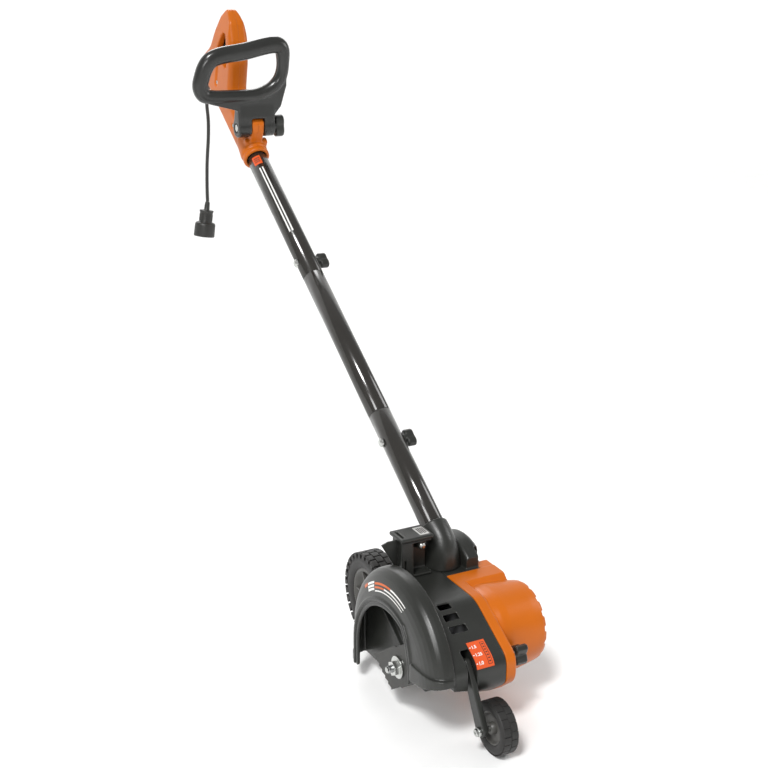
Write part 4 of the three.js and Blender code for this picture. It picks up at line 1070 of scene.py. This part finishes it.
def brow_line():
    """(y, z, distance) down the head's brow, from the label's top edge."""
    line = [p for p in rounded(HEAD, 16) if p.x < 0 and p.y > 110]
    line.sort(key=lambda p: -p.y)
    top = Vector((LABEL_TOP_Y, brow_z(LABEL_TOP_Y)))
    line = [top] + [p for p in line if p.y < top.y - 0.5]
    out = [(top.x, top.y, 0.0)]
    for a, b in zip(line, line[1:]):
        out.append((b.x, b.y, out[-1][2] + (b - a).length))
    return out


def on_label(u, d, lift):
    """u across from the label's left edge, d down the brow; lift is out of the surface."""
    line = brow_line()
    for (y0, z0, d0), (y1, z1, d1) in zip(line, line[1:]):
        if d <= d1 or (y1, z1, d1) == line[-1]:
            t = (d - d0) / (d1 - d0)
            normal = Vector((-(z0 - z1), (y0 - y1))).normalized()
            y = y0 + (y1 - y0) * t + normal.x * lift
            return at(LABEL_X + u, y, z0 + (z1 - z0) * t + normal.y * lift)


def label_patch(name, u0, u1, d0, d1, lift, paint):
    steps = max(int((d1 - d0) / 1.5), 1)
    rows = []
    for k in range(steps + 1):
        d = d0 + (d1 - d0) * k / steps
        rows.append([on_label(u, d, h) for u, h in ((u0, -0.3), (u1, -0.3), (u1, lift), (u0, lift))])
    place_piece(mesh_from(name, *skin_rows(rows, False)), "chassis", "black_plastic", paint=paint)


def label_number(name, words, u, d, height):
    curve = bpy.data.curves.new(name, "FONT")
    curve.body = words
    curve.size = height
    curve.extrude = 0.15
    curve.offset = 0.22
    text = bpy.data.objects.new(name, curve)
    scene.collection.objects.link(text)
    bpy.context.view_layer.update()
    graph = bpy.context.evaluated_depsgraph_get()
    mesh = bpy.data.meshes.new_from_object(text.evaluated_get(graph))
    bpy.data.objects.remove(text)
    for vertex in mesh.vertices:
        a, b, h = vertex.co
        vertex.co = on_label(u + a, d - b, 0.75 + h)
    number = bpy.data.objects.new(name, mesh)
    scene.collection.objects.link(number)
    place_piece(number, "chassis", "black_plastic", paint="white_print")


def make_depth_label():
    label_patch("depth_label", 0, 31, 0, 46, 0.5, "label_red")
    for i, (words, d) in enumerate((("1.5", 12), ("1.25", 26), ("1.0", 40))):
        label_number(f"depth_number_{i}", words, 4.6, d, 7.2)
        label_patch(f"depth_tick_{i}", 1, 3.4, d - 3.2, d - 1.6, 0.75, "white_print")
    label_patch("depth_frame", 21.4, 28.6, 4, 42, 0.65, "dark_print")
    label_patch("depth_frame_inside", 22.2, 27.8, 4.8, 41.2, 0.8, "label_red")
    for k in range(7):
        label_patch(f"depth_frame_mark_{k}", 23.6, 26.4, 7 + 4.9 * k, 9 + 4.9 * k, 0.95, "dark_print")


# ------------------------------------------------------------------ printed bands on the pole
def tube_patch(name, s0, s1, turn0, turn1, lift, paint):
    """A printed patch on the tube, between two angles round it from its upper line, in degrees."""
    steps = 8
    rows = []
    for k in range(steps + 1):
        a = math.radians(turn0 + (turn1 - turn0) * k / steps)
        rows.append([on_pole(-r * math.sin(a), s, r * math.cos(a)) for s, r in (
            (s0, TUBE_R - 0.2), (s1, TUBE_R - 0.2), (s1, TUBE_R + lift), (s0, TUBE_R + lift))])
    place_piece(mesh_from(name, *skin_rows(rows, False)), "chassis", "tube_paint", paint=paint)


def make_tube_prints():
    tube_patch("tube_print_patch", 862, 884, 8, 58, 0.2, "label_red")
    for k in range(3):
        tube_patch(f"tube_print_patch_bar_{k}", 868 + 4.5 * k, 869.6 + 4.5 * k, 16, 50, 0.35, "dark_print")
    for k, turn in enumerate((17, 34)):
        tube_patch(f"tube_print_line_{k}", 676, 852, turn, turn + 8, 0.2, "white_print")


def make_small_fixings():
    hex_nut("front_axle_nut", 11, 50.6, 54, FRONT_WHEEL["y"], FRONT_WHEEL["r"], "depth_leg", 2.2)
    hex_nut("spindle_stud_cap", 9.5, -22.5, -20.2, 0, BLADE_Z, "blade_spindle")
    hex_nut("rear_axle_cap", 13, 61.4, 63.2, REAR_WHEEL["y"], REAR_WHEEL["r"], "chassis")
    for i, (y, z) in enumerate(((52, 150), (-38, 150))):
        screw(f"guard_screw_{i}", lambda u, v, h, y=y, z=z: at(24.4 - h, y + u, z + v), 5, "chassis")


MATERIALS = make_materials()
make_camera()
make_cord()
make_studio()
dress_cad_nodes()
make_guard()
make_guard_prints()
make_gear_housing()
make_motor_cover()
make_rear_housing()
make_rear_wheel()
make_front_wheel()
make_tubes()
make_tube_prints()
make_socket()
make_bracket()
make_front_handle()
make_rear_handle()
make_depth_label()
make_small_fixings()
